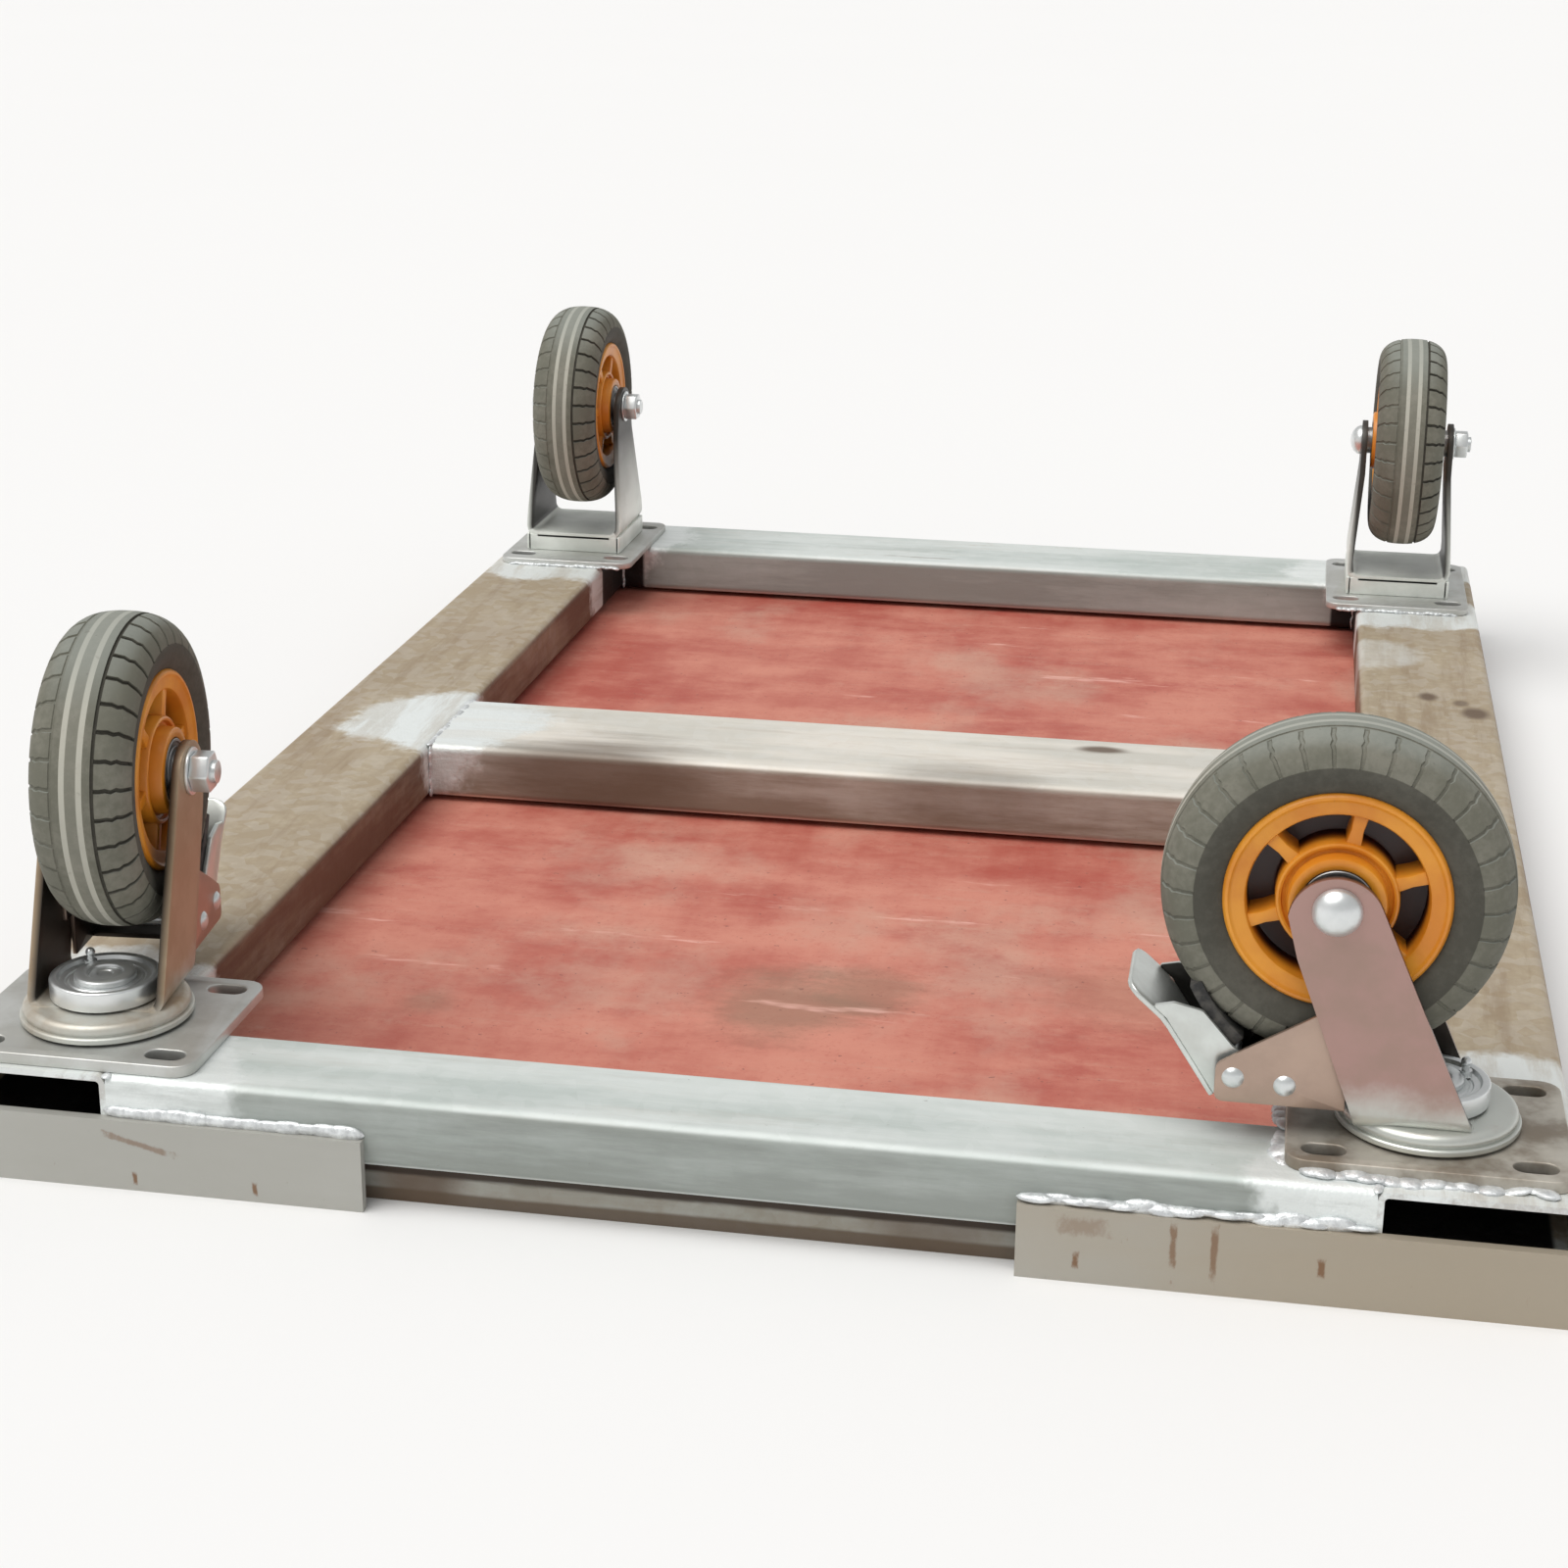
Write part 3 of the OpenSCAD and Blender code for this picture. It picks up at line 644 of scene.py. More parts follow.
class RingRepeat(ShapeTree):
    """Repeats a sector of a shape round the X axis."""

    def __init__(self) -> None:
        """Builds the tree."""
        super().__init__("ring_repeat", {"Count": "NodeSocketInt", "Material": "NodeSocketMaterial"})
        count = self.given("Count")
        points = self.wire("GeometryNodePoints", {}, {"Count": count})
        turn = self.wire("GeometryNodeInputIndex") / count * (2 * math.pi)
        angles = self.wire("ShaderNodeCombineXYZ", {}, {0: turn})
        ring = self.wire("GeometryNodeInstanceOnPoints", {},
                         {"Points": points, "Instance": self.given("Geometry"), "Rotation": angles})
        self.close(ring, self.given("Material"))


class BeadRun(ShapeTree):
    """Lays a weld bead along the edges of a mesh: overlapping drops of uneven size."""

    def __init__(self) -> None:
        """Builds the tree."""
        super().__init__("bead_run", {
            "Pitch": "NodeSocketFloat", "Width": "NodeSocketFloat", "Height": "NodeSocketFloat",
            "Wander": "NodeSocketFloat", "Seed": "NodeSocketInt", "Material": "NodeSocketMaterial"})
        seed = self.given("Seed")
        path = self.wire("GeometryNodeMeshToCurve", {}, {"Mesh": self.given("Geometry")})
        even = self.wire("GeometryNodeResampleCurve", {"mode": "LENGTH"},
                         {"Curve": path, "Length": self.given("Pitch")})
        wander = self.given("Wander")
        spread = [self._drawn(-1.0, 1.0, seed + i) * wander for i in range(3)]
        offset = self.wire("ShaderNodeCombineXYZ", {}, dict(enumerate(spread)))
        moved = self.wire("GeometryNodeSetPosition", {}, {"Geometry": even, "Offset": offset})
        drop = self.wire("GeometryNodeMeshUVSphere", {}, {"Segments": 10, "Rings": 6, "Radius": 1.0})
        heading = self.wire("FunctionNodeAlignRotationToVector", {"axis": "X"},
                            {"Vector": self.wire("GeometryNodeInputTangent")})
        swell = self._drawn(0.75, 1.3, seed + 7)
        size = self.wire("ShaderNodeCombineXYZ", {}, {
            0: self.given("Pitch") * 1.1, 1: self.given("Width") * swell, 2: self.given("Height") * swell})
        drops = self.wire("GeometryNodeInstanceOnPoints", {},
                          {"Points": moved, "Instance": drop, "Rotation": heading, "Scale": size})
        self.close(drops, self.given("Material"))

    def _drawn(self, low: float, high: float, seed: Wire) -> Wire:
        """A random number for each drop."""
        return self.wire("FunctionNodeRandomValue", {"data_type": "FLOAT"}, {2: low, 3: high, "Seed": seed}, 1)


# -------------------------------------------------------------------- meshes


def linked(name: str, data: bpy.types.ID) -> Object:
    """A new object in the scene."""
    made = bpy.data.objects.new(name, data)
    bpy.context.scene.collection.objects.link(made)
    return made


def baked(carrier: Object) -> Mesh:
    """Returns the carrier's mesh with its modifiers applied, and removes the carrier."""
    bpy.context.view_layer.update()
    evaluated = carrier.evaluated_get(bpy.context.evaluated_depsgraph_get())
    mesh = bpy.data.meshes.new_from_object(evaluated)
    source = carrier.data
    bpy.data.objects.remove(carrier)
    if source.users == 0 and isinstance(source, Mesh):
        bpy.data.meshes.remove(source)
    return mesh


def modified(mesh: Mesh, *steps: tuple[str, dict]) -> Mesh:
    """Applies modifiers to a mesh.

    Args:
        mesh: the mesh, which is used up.
        steps: each modifier's type and settings, in order.

    Returns:
        The new mesh.
    """
    carrier = linked("carrier", mesh)
    for kind, settings in steps:
        modifier = carrier.modifiers.new(kind.lower(), kind)
        for name, value in settings.items():
            setattr(modifier, name, value)
    return baked(carrier)


def bevel(width: float, segments: int = 2) -> tuple[str, dict]:
    """A bevel step for modified(), in millimetres, on edges sharper than 35 degrees."""
    return "BEVEL", {"width": width, "segments": segments, "limit_method": "ANGLE",
                     "angle_limit": math.radians(35), "harden_normals": False}


def thickened(sheet: float) -> tuple[str, dict]:
    """A step for modified() that gives an open sheet its thickness, half on each side."""
    return "SOLIDIFY", {"thickness": sheet, "offset": 0.0, "use_even_offset": True}


def mesh_from(points: Sequence[Sequence[float]], faces: Iterable[Sequence[int]] = (),
              edges: Iterable[tuple[int, int]] = ()) -> Mesh:
    """A mesh from plain lists, with doubles merged and faces turned outwards."""
    mesh = bpy.data.meshes.new("part")
    mesh.from_pydata([tuple(p) for p in points], list(edges), [tuple(f) for f in faces])
    if mesh.polygons:
        cleaned(mesh)
    return mesh


def cleaned(mesh: Mesh) -> Mesh:
    """Merges a mesh's doubles and turns its faces outwards."""
    shape = bmesh.new()
    shape.from_mesh(mesh)
    bmesh.ops.remove_doubles(shape, verts=shape.verts, dist=0.001)
    bmesh.ops.dissolve_degenerate(shape, dist=0.001, edges=shape.edges)
    bmesh.ops.recalc_face_normals(shape, faces=shape.faces)
    shape.to_mesh(mesh)
    shape.free()
    return mesh


def joined(meshes: Iterable[Mesh]) -> Mesh:
    """One mesh that holds several, which are used up."""
    shape = bmesh.new()
    for mesh in meshes:
        shape.from_mesh(mesh)
        bpy.data.meshes.remove(mesh)
    result = bpy.data.meshes.new("joined")
    shape.to_mesh(result)
    shape.free()
    return result


def carrying(mesh: Mesh, name: str, values: Sequence[float]) -> Mesh:
    """The mesh with a number at each of its points, for its material to read."""
    mesh.attributes.new(name, "FLOAT", "POINT").data.foreach_set("value", values)
    return mesh


def moved(mesh: Mesh, matrix: Matrix) -> Mesh:
    """The mesh after a transformation, its faces still outwards."""
    mesh.transform(matrix)
    if matrix.determinant() < 0:
        mesh.flip_normals()
    return mesh


def quads(rows: int, width: int, rows_meet: bool = False, ends_meet: bool = False) -> list[tuple[int, ...]]:
    """The faces of a sheet of points, numbered row by row.

    Args:
        rows: the number of rows.
        width: the points in a row.
        rows_meet: whether the last row joins the first.
        ends_meet: whether each row's last point joins its first.

    Returns:
        Four point numbers for each face.
    """
    return [(r * width + c, r * width + (c + 1) % width,
             (r + 1) % rows * width + (c + 1) % width, (r + 1) % rows * width + c)
            for r in range(rows - (not rows_meet)) for c in range(width - (not ends_meet))]


def revolved(profile: Sequence[Point2], steps: int = 64) -> Mesh:
    """Turns a closed profile of (distance along X, radius) points round the X axis."""
    points = [(a, r * math.cos(t), r * math.sin(t))
              for t in (2 * math.pi * s / steps for s in range(steps)) for a, r in profile]
    return mesh_from(points, quads(steps, len(profile), True, True))


def mirrored(half: Sequence[Point2]) -> list[Point2]:
    """A profile and its mirror image in X = 0, as one closed loop."""
    return [*half, *((-a, r) for a, r in reversed(half))]


UPRIGHT = Matrix.Rotation(-math.pi / 2, 4, "Y")


def turned_up(profile: Sequence[Point2], steps: int = 64) -> Mesh:
    """Turns a closed profile of (height, radius) points round the Z axis."""
    return moved(revolved(profile, steps), UPRIGHT)


def prism(outline: Sequence[Point2], near: float, far: float) -> Mesh:
    """A side view (Y, Z) made into a plate between two values of X."""
    count = len(outline)
    points = [(x, y, z) for x in (near, far) for y, z in outline]
    sides = [(i, (i + 1) % count, count + (i + 1) % count, count + i) for i in range(count)]
    return mesh_from(points, [tuple(range(count)), tuple(range(count, 2 * count)), *sides])


def slab(outline: Sequence[Point2], near: float, far: float, edge: float, segments: int = 2) -> Mesh:
    """A prism with bevelled edges."""
    return modified(prism(outline, near, far), bevel(edge, segments))


def grid(rows: Sequence[Sequence[Point3]]) -> Mesh:
    """An open sheet through rows of points."""
    return mesh_from([p for row in rows for p in row], quads(len(rows), len(rows[0])))


def arc(centre: Point2, radius: float, start: float, end: float, steps: int) -> list[Point2]:
    """Points on an arc, from start to end in degrees."""
    angles = (math.radians(start + (end - start) * i / steps) for i in range(steps + 1))
    return [(centre[0] + radius * math.cos(a), centre[1] + radius * math.sin(a)) for a in angles]


def rounded(corners: Sequence[Point2], radii: Sequence[float], steps: int = 5) -> list[Point2]:
    """An outline whose corners are replaced by arcs of the given radii."""
    result: list[Point2] = []
    for i, corner in enumerate(corners):
        here = Vector(corner)
        back = (Vector(corners[i - 1]) - here).normalized()
        ahead = (Vector(corners[(i + 1) % len(corners)]) - here).normalized()
        if radii[i] <= 0:
            result.append(tuple(here))
            continue
        half = back.angle(ahead) / 2
        centre = here + (back + ahead).normalized() * (radii[i] / math.sin(half))
        start, end = (here + v * (radii[i] / math.tan(half)) - centre for v in (back, ahead))
        sweep = start.angle_signed(end)
        result += [tuple(centre + Matrix.Rotation(-sweep * k / steps, 2) @ start) for k in range(steps + 1)]
    return result


def rounded_rectangle(width: float, depth: float, radius: float) -> list[Point2]:
    """The outline of a rectangle with rounded corners, centred on the origin."""
    corners = [(width / 2, depth / 2), (-width / 2, depth / 2), (-width / 2, -depth / 2), (width / 2, -depth / 2)]
    return rounded(corners, [radius] * 4)


def pierced_plate(outline: Sequence[Point2], holes: Sequence[Sequence[Point2]], thickness: float,
                  edge: float) -> Mesh:
    """A flat plate on Z = 0 with holes and rounded edges.

    Args:
        outline: the plate's outline in X and Y.
        holes: the outlines of its holes.
        thickness: its thickness.
        edge: the radius of its edges.

    Returns:
        The mesh.
    """
    curve = bpy.data.curves.new("plate", "CURVE")
    curve.dimensions = "2D"
    curve.fill_mode = "BOTH"
    curve.extrude = thickness / 2 - edge
    curve.bevel_depth = edge
    curve.bevel_resolution = 2
    curve.offset = -edge
    for loop in (outline, *holes):
        spline = curve.splines.new("POLY")
        spline.points.add(len(loop) - 1)
        for point, (x, y) in zip(spline.points, loop):
            point.co = (x, y, 0, 1)
        spline.use_cyclic_u = True
    mesh = baked(linked("plate", curve))
    bpy.data.curves.remove(curve)
    return cleaned(moved(mesh, Matrix.Translation((0, 0, thickness / 2))))


def box_centre(node: str) -> Vector:
    """The centre of a frame node's box, in metres."""
    low, high = (Vector(corner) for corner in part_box(node))
    return (low + high) / 2


# -------------------------------------------------------------------- pieces


@dataclass
class Dresser:
    """Turns meshes in millimetres into finished pieces that ride on a body."""

    materials: dict[str, Material]

    def piece(self, name: str, mesh: Mesh, place: Matrix, slot: str, body: str,
              stands_for: Sequence[str] = (), smooth: float = 32, finish: Optional[str] = None) -> Object:
        """Finishes one piece.

        Args:
            name: the piece's name.
            mesh: its mesh, in millimetres in its sub-assembly's frame.
            place: carries that frame to the truck's, in metres.
            slot: the record's material slot.
            body: the body that it rides on.
            stands_for: the frame's nodes that it replaces.
            smooth: edges flatter than this many degrees are shaded smooth.
            finish: the material, where it isn't the slot's own.

        Returns:
            The piece's object.
        """
        moved(mesh, place)
        mesh.name = name
        mesh.materials.clear()
        mesh.materials.append(self.materials[finish or slot])
        mesh.polygons.foreach_set("material_index", [0] * len(mesh.polygons))
        mesh.shade_smooth()
        mesh.set_sharp_from_angle(angle=math.radians(smooth))
        made = linked(name, mesh)
        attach(made, body)
        if stands_for:
            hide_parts(*stands_for)
        LOG.info("%s: %d faces on %s", name, len(mesh.polygons), body)
        return made

    def stand_in(self, node: str, mesh: Mesh, place: Matrix, slot: str, body: str = "frame",
                 finish: Optional[str] = None) -> None:
        """Finishes a piece that replaces one frame node, and is named for it."""
        self.piece(f"{node}_look", mesh, place, slot, body, [node], finish=finish)

    def dress(self, nodes: Iterable[str], frame_nodes: dict[str, Object], finish: str) -> None:
        """Gives frame nodes a material."""
        for node in nodes:
            mesh = frame_nodes[node].data
            mesh.materials.clear()
            mesh.materials.append(self.materials[finish])
            LOG.info("%s: dressed in %s", node, finish)


@dataclass
class Wheel:
    """A grey tyre on an orange spoked hub, round the X axis."""

    radius: float = 78.0
    tyre_width: float = 50.0
    rim_radius: float = 50.0
    lugs: int = 34
    groove_depth: float = 1.7
    groove_share: float = 0.10
    rib_half: float = 5.4
    groove_at: float = 9.6
    wall_step: float = 63.0
    spokes: int = 6
    boss_half: float = 26.5
    pocket: Point2 = (27.2, 39.9)
    pocket_mouth: float = 19.0
    pocket_depth: float = 14.0
    spoke_phase: float = 0.0

    @property
    def belly(self) -> float:
        """The radius at which the tyre is widest."""
        return self.rim_radius + 9

    def _crown(self, angle: float) -> Point2:
        """The tyre's outer surface: (distance along X, radius) at an angle from one belly to the other."""
        bulge = [math.copysign(abs(v) ** 0.8, v) for v in (math.cos(angle), math.sin(angle))]
        return self.tyre_width / 2 * bulge[0], self.belly + (self.radius - self.belly) * bulge[1]

    def _crown_at(self, along: float) -> float:
        """The angle at which the crown crosses a distance along X."""
        return math.acos(max(-1.0, min(1.0, math.copysign(abs(2 * along / self.tyre_width) ** 1.25, along))))

    def _rows(self) -> list[tuple[Point2, float, bool]]:
        """The tread's rows across the tyre: each point, its kind of tread, and whether lug grooves cross it."""
        step, rib, groove = 0.3, self.rib_half, self.groove_at
        half = [(0.0, 2.3, False), (rib - 2.8, 2.3, False), (rib - 2.4, 3, False), (rib, 3, False),
                (rib + step, 2, False), (groove - step, 2, False), (groove, 0, False), (groove + 1.2, 0, False),
                (groove + 1.2 + step, 2, True), (13.5, 2, True), (16.0, 2, True), (18.5, 2, True)]
        marks = [(self._crown_at(along), kind, lugs) for along, kind, lugs in half]
        shoulder = marks[-1][0]
        edge = math.asin(((self.wall_step - self.belly) / (self.radius - self.belly)) ** 1.25)
        marks += [(shoulder + (edge - shoulder) * i / 5, 2, True) for i in range(1, 6)]
        marks += [(edge - 0.03, 1, False), (edge * 0.45, 1, False), (0.0, 1, False)]
        side = [(self._crown(angle), kind, lugs) for angle, kind, lugs in marks]
        bead = [((self.tyre_width / 2 - 1.4, self.rim_radius + 4.5), 1, False),
                ((self.tyre_width / 2 - 3.6, self.rim_radius + 1.0), 1, False),
                ((self.tyre_width / 2 - 4.2, self.rim_radius), 1, False)]
        right = side + bead
        left = [((-a, r), kind, lugs) for (a, r), kind, lugs in reversed(right[1:])]
        return left + right

    def _groove(self, row: tuple[Point2, float, bool], cut: bool) -> tuple[Point2, float]:
        """A row's point and tread value, sunk where a groove passes."""
        (along, r), kind, lugs = row
        if kind != 0 and not (lugs and cut):
            return (along, r), float(kind)
        rise = max(r - self.belly, 0) / (self.radius - self.belly) ** 2
        outward = Vector((along / (self.tyre_width / 2) ** 2, rise)).normalized()
        # On the -X half the grooves are cut half as deep and take nearly the blocks' colour: painted light on that
        # half, which faces the sun, with dust in them.
        depth = (self.groove_depth if lugs else 1.1) * (0.5 if along < 0 else 1.0)
        return (along - outward.x * depth, r - outward.y * depth), 1.8 if along < 0 else 0.4

    def _skew(self, row: tuple[Point2, float, bool]) -> float:
        """How far a row's cuts are turned from the straight, in lugs, which makes them jagged."""
        along = abs(row[0][0])
        return 0.045 * math.sin(along * 1.15) if row[2] and along < self.tyre_width / 2 - 3 else 0.0

    def tyre(self, ring: RingRepeat, material: Material) -> Mesh:
        """Builds one lug's sector of the tyre and repeats it round the wheel."""
        share = self.groove_share / 2
        columns = [(0.0, True), (share, True), (share + 0.035, False), (0.33, False), (0.67, False),
                   (1 - share - 0.035, False), (1 - share, True), (1.0, True)]
        rows = self._rows()
        pitch = 2 * math.pi / self.lugs
        points, tread = [], []
        for turn, cut in columns:
            for row in rows:
                (along, r), value = self._groove(row, cut)
                angle = (turn + self._skew(row)) * pitch
                points.append((along, r * math.cos(angle), r * math.sin(angle)))
                tread.append(value)
        sector = bpy.data.meshes.new("lug")
        sector.from_pydata(points, [], quads(len(columns), len(rows), ends_meet=True))
        return cleaned(ring.run(carrying(sector, "tread", tread), {"Count": self.lugs, "Material": material}))

    def _hub_profile(self) -> list[Point2]:
        """Half of the hub's section: (distance along X, radius) from the tyre in to the bearing."""
        b = self.boss_half
        return [(0, 50.0), (21.2, 50.0), (22.2, 49.6), (22.9, 48.7), (22.9, 47.5), (22.1, 46.6), (21.7, 45.8),
                (21.5, 41.7), (21.0, 40.4), (19.6, 39.7), (2.6, 39.2), (2.4, 38.2), (2.4, 28.6), (3.0, 27.4),
                (19.4, 27.0), (20.4, 26.5), (20.8, 25.6), (20.4, 24.6), (18.2, 24.0), (17.8, 22.9),
                (18.4, 22.0), (b - 1.4, 21.6), (b - 0.5, 21.2), (b, 20.2), (b, 17.4), (b - 0.6, 16.4),
                (b - 1.6, 16.0), (15.5, 16.0), (15.5, 12.0), (0, 12.0)]

    def hub(self, ring: RingRepeat, material: Material) -> Mesh:
        """Builds the hub: a rim, a web, a boss and its spokes."""
        body = revolved(mirrored(self._hub_profile()), 96)
        spoke = slab([(25.5, -3.6), (33.0, -2.8), (40.5, -3.4), (40.5, 3.4), (33.0, 2.8), (25.5, 3.6)],
                     -19.5, 19.5, 1.1)
        spokes = ring.run(moved(spoke, Matrix.Rotation(self.spoke_phase, 4, "X")),
                          {"Count": self.spokes, "Material": material})
        mesh = joined([body, spokes])
        # How deep each point lies in a pocket, which sets the painted shade there.
        inner, outer = self.pocket
        depths = []
        for vertex in mesh.vertices:
            deep = (self.pocket_mouth - abs(vertex.co.x)) / self.pocket_depth
            in_pocket = inner < math.hypot(vertex.co.y, vertex.co.z) < outer
            depths.append(max(0.0, min(1.0, deep)) if in_pocket else 0.0)
        return carrying(mesh, "grime", depths)

    def bearing(self) -> Mesh:
        """Builds the two bearings, with a shield that is set back between their rings."""
        half = [(15.5, 10.05), (26.3, 10.05), (26.5, 10.4), (26.5, 11.8), (25.9, 12.1), (25.9, 14.2),
                (26.5, 14.5), (26.5, 15.6), (26.2, 15.95), (15.5, 15.95)]
        ends = [revolved(half, 48), revolved([(-a, r) for a, r in half], 48)]
        return joined(ends)


def shaded_inside(mesh: Mesh, half: float, above: float) -> Mesh:
    """Marks the points of a U of sheet that lie between its legs, where a painted shade darkens it.

    Args:
        mesh: the U, across the X axis.
        half: half of the gap between its legs.
        above: the height from which its inside gets the painted shade.

    Returns:
        The same mesh.
    """
    return carrying(mesh, "grime", [float(abs(v.co.x) < half + 0.3 and v.co.z > above) for v in mesh.vertices])


def leg_span(z: float, foot: Point2, foot_z: float, axle: Point2, top: float) -> Point2:
    """Where a fork leg starts and ends along Y at a height.

    Args:
        z: the height.
        foot: the leg's start and end at its foot.
        foot_z: the foot's height.
        axle: the Y and Z of the centre of the leg's round end.
        top: the radius of that round end.

    Returns:
        The two values of Y.
    """
    run = Vector(axle) - Vector(((foot[0] + foot[1]) / 2, foot_z))
    across = Vector((run.y, -run.x)).normalized() * top
    ends = []
    for start, sign in zip(foot, (-1, 1)):
        tangent = Vector(axle) + across * sign
        if z < tangent.y:
            share = max(0.0, (z - foot_z) / (tangent.y - foot_z))
            ends.append(start + (tangent.x - start) * share)
        else:
            ends.append(axle[0] + sign * math.sqrt(max(0.0, top ** 2 - (z - axle[1]) ** 2)))
    return ends[0], ends[1]


@dataclass
class Fork:
    """A fork bent from one sheet, in the frame of its castor: X across, Y behind, Z from the plate's foot."""

    axle: Point2
    foot: Point2
    foot_z: float
    half_gap: float = 30.0
    sheet: float = 4.0
    top: float = 21.0
    drop: float = 6.0
    splay: float = 0.0
    bend: float = 7.0
    knee_drop: float = 22.0
    knee_rise: float = 12.0
    columns: int = 8

    @property
    def crest(self) -> Point2:
        """The centre of a leg's round end."""
        return self.axle[0], self.axle[1] - self.drop

    def _side(self) -> list[Point2]:
        """The sheet's middle line from the centre of its base to the top of a leg: (X, Z) points."""
        middle = self.half_gap + self.sheet / 2
        wide = middle + self.splay
        base = self.foot_z
        line = [(0.0, base), (wide * 0.5, base)]
        line += arc((wide - self.bend, base + self.bend), self.bend, -90, 0, 6)
        knee = self.axle[1] - self.knee_drop if self.splay else base + self.bend + self.knee_rise
        line += [(wide, base + self.bend + 6), (middle, knee)]
        crest = self.crest[1]
        straight = crest + self.top * 0.1
        line += [(middle, knee + (straight - knee) * i / 4) for i in range(1, 5)]
        line += [(middle, crest + self.top * math.sin(math.radians(a))) for a in range(14, 90, 8)]
        return line + [(middle, crest + self.top * math.sin(math.radians(88.5)))]

    def bent(self) -> Mesh:
        """Builds the U of base and legs."""
        side = self._side()
        path = [(-x, z) for x, z in reversed(side[1:])] + side
        rows = []
        for x, z in path:
            start, end = leg_span(z, self.foot, self.foot_z, self.crest, self.top)
            rows.append([(x, start + (end - start) * c / self.columns, z) for c in range(self.columns + 1)])
        sheet = modified(grid(rows), thickened(self.sheet), bevel(0.9))
        # Painted shade marked between the legs.
        return shaded_inside(sheet, self.half_gap + self.splay, self.foot_z + self.sheet)


@dataclass
class Axle:
    """The bolt, nut and washer that carry a wheel, round the X axis."""

    half: float = 34.0
    shaft: float = 6.0

    def bolt(self) -> Mesh:
        """A cup-headed bolt, its head at -X, with a threaded end."""
        h = self.half
        head = [(-h, 10.9), (-h - 1.8, 11.0), (-h - 3.4, 10.3), (-h - 5.4, 8.6), (-h - 7.0, 6.2), (-h - 8.0, 3.4),
                (-h - 8.4, 0.0)]
        thread = [(h + 11 + i * 0.5, self.shaft - (0.0 if i % 2 else 0.45)) for i in range(6)]
        profile = [(0, 0.0), (h + 14, 0.0), (h + 14, self.shaft - 1.4), *reversed(thread), (-h, self.shaft), *head]
        return modified(revolved(profile, 40), bevel(0.25, 1))

    def nut(self) -> Mesh:
        """A washer and a hexagonal nut with chamfered corners."""
        h = self.half
        washer = revolved([(h, 6.1), (h, 12.0), (h + 1.5, 12.0), (h + 1.5, 6.1)], 40)
        return joined([modified(washer, bevel(0.3)), slab(arc((0, 0), 10.8, 0, 300, 5), h + 1.5, h + 11.2, 1.0, 3)])


@dataclass
class SwivelHead:
    """The turning head of a swivel castor, round the Z axis: dished crown, race cup, collar and kingpin."""

    plate: float = 6.0
    crown_low: float = 12.75
    crown_top: float = 16.75
    crown_radius: float = 42.0
    cup_radius: float = 27.0
    cup_low: float = 22.1
    cup_top: float = 25.1
    cup_rim: float = 2.6
    collar_radius: float = 15.0
    collar_height: float = 3.5

    def crown(self) -> Mesh:
        """The dish that covers the large balls: a skirt, a groove and a rounded upper tier."""
        r, rim, top = self.crown_radius, self.plate + 1.2, self.crown_top - 0.35
        skirt = arc((rim + 1.2, r - 1.2), 1.2, 180, 90, 4)
        shoulder = arc((top - 4.0, r - 5.4), 4.0, 90, 0, 7)
        profile = [(self.crown_low, 20.0), (self.crown_low, r - 5.8), (self.crown_low - 1.6, r - 4.4),
                   (rim + 1.2, r - 3.6), *skirt, (rim + 2.7, r - 0.1), (rim + 3.3, r - 0.7), (rim + 3.6, r - 2.2),
                   (rim + 4.2, r - 2.2), (rim + 4.7, r - 1.5), *shoulder, (top, r - 10.0), (top + 0.1, 20.0)]
        return turned_up(profile, 96)

    def cup(self) -> Mesh:
        """The bowl that covers the small balls, with a raised rim and pressed rings round the collar."""
        r, low, top, high = self.cup_radius, self.crown_top + 0.8, self.cup_top, self.cup_top + self.cup_rim
        foot = arc((low + 0.9, r - 0.9), 0.9, 180, 90, 3)
        lip = arc((high - 1.3, r - 1.3), 1.3, 90, 0, 4)
        profile = [(self.cup_low, 8.1), (self.cup_low, r - 4.2), (low + 0.6, r - 2.2), *foot, *lip,
                   (high, r - 2.8), (high - 0.4, r - 3.7), (top + 0.4, r - 4.7), (top, r - 5.6), (top, 19.6),
                   (top - 0.6, 19.0), (top - 0.6, 17.9), (top, 17.3), (top, 8.1)]
        return turned_up(profile, 80)

    def collar(self) -> Mesh:
        """The low round collar that holds the cup on the kingpin."""
        low, r, h = self.cup_top, self.collar_radius, self.collar_height
        return turned_up([(low, 8.1), (low, r - 0.4), (low + 0.4, r), (low + h - 1.0, r), (low + h - 0.3, r - 0.5),
                          (low + h, r - 1.4), (low + h, 9.8), (low + h - 0.3, 9.0), (low + h - 1.2, 8.6),
                          (low + h - 1.3, 8.1)], 72)

    def kingpin(self) -> Mesh:
        """The kingpin, its countersunk head on Z = 0 and its end riveted inside the collar."""
        end = self.cup_top + self.collar_height - 1
        return turned_up([(0, 0.0), (0, 13.0), (5, 8.0), (end - 0.8, 8.0), (end - 0.2, 7.6), (end, 6.8),
                          (end, 4.2), (end - 0.6, 3.4), (end - 0.8, 0.0)], 48)


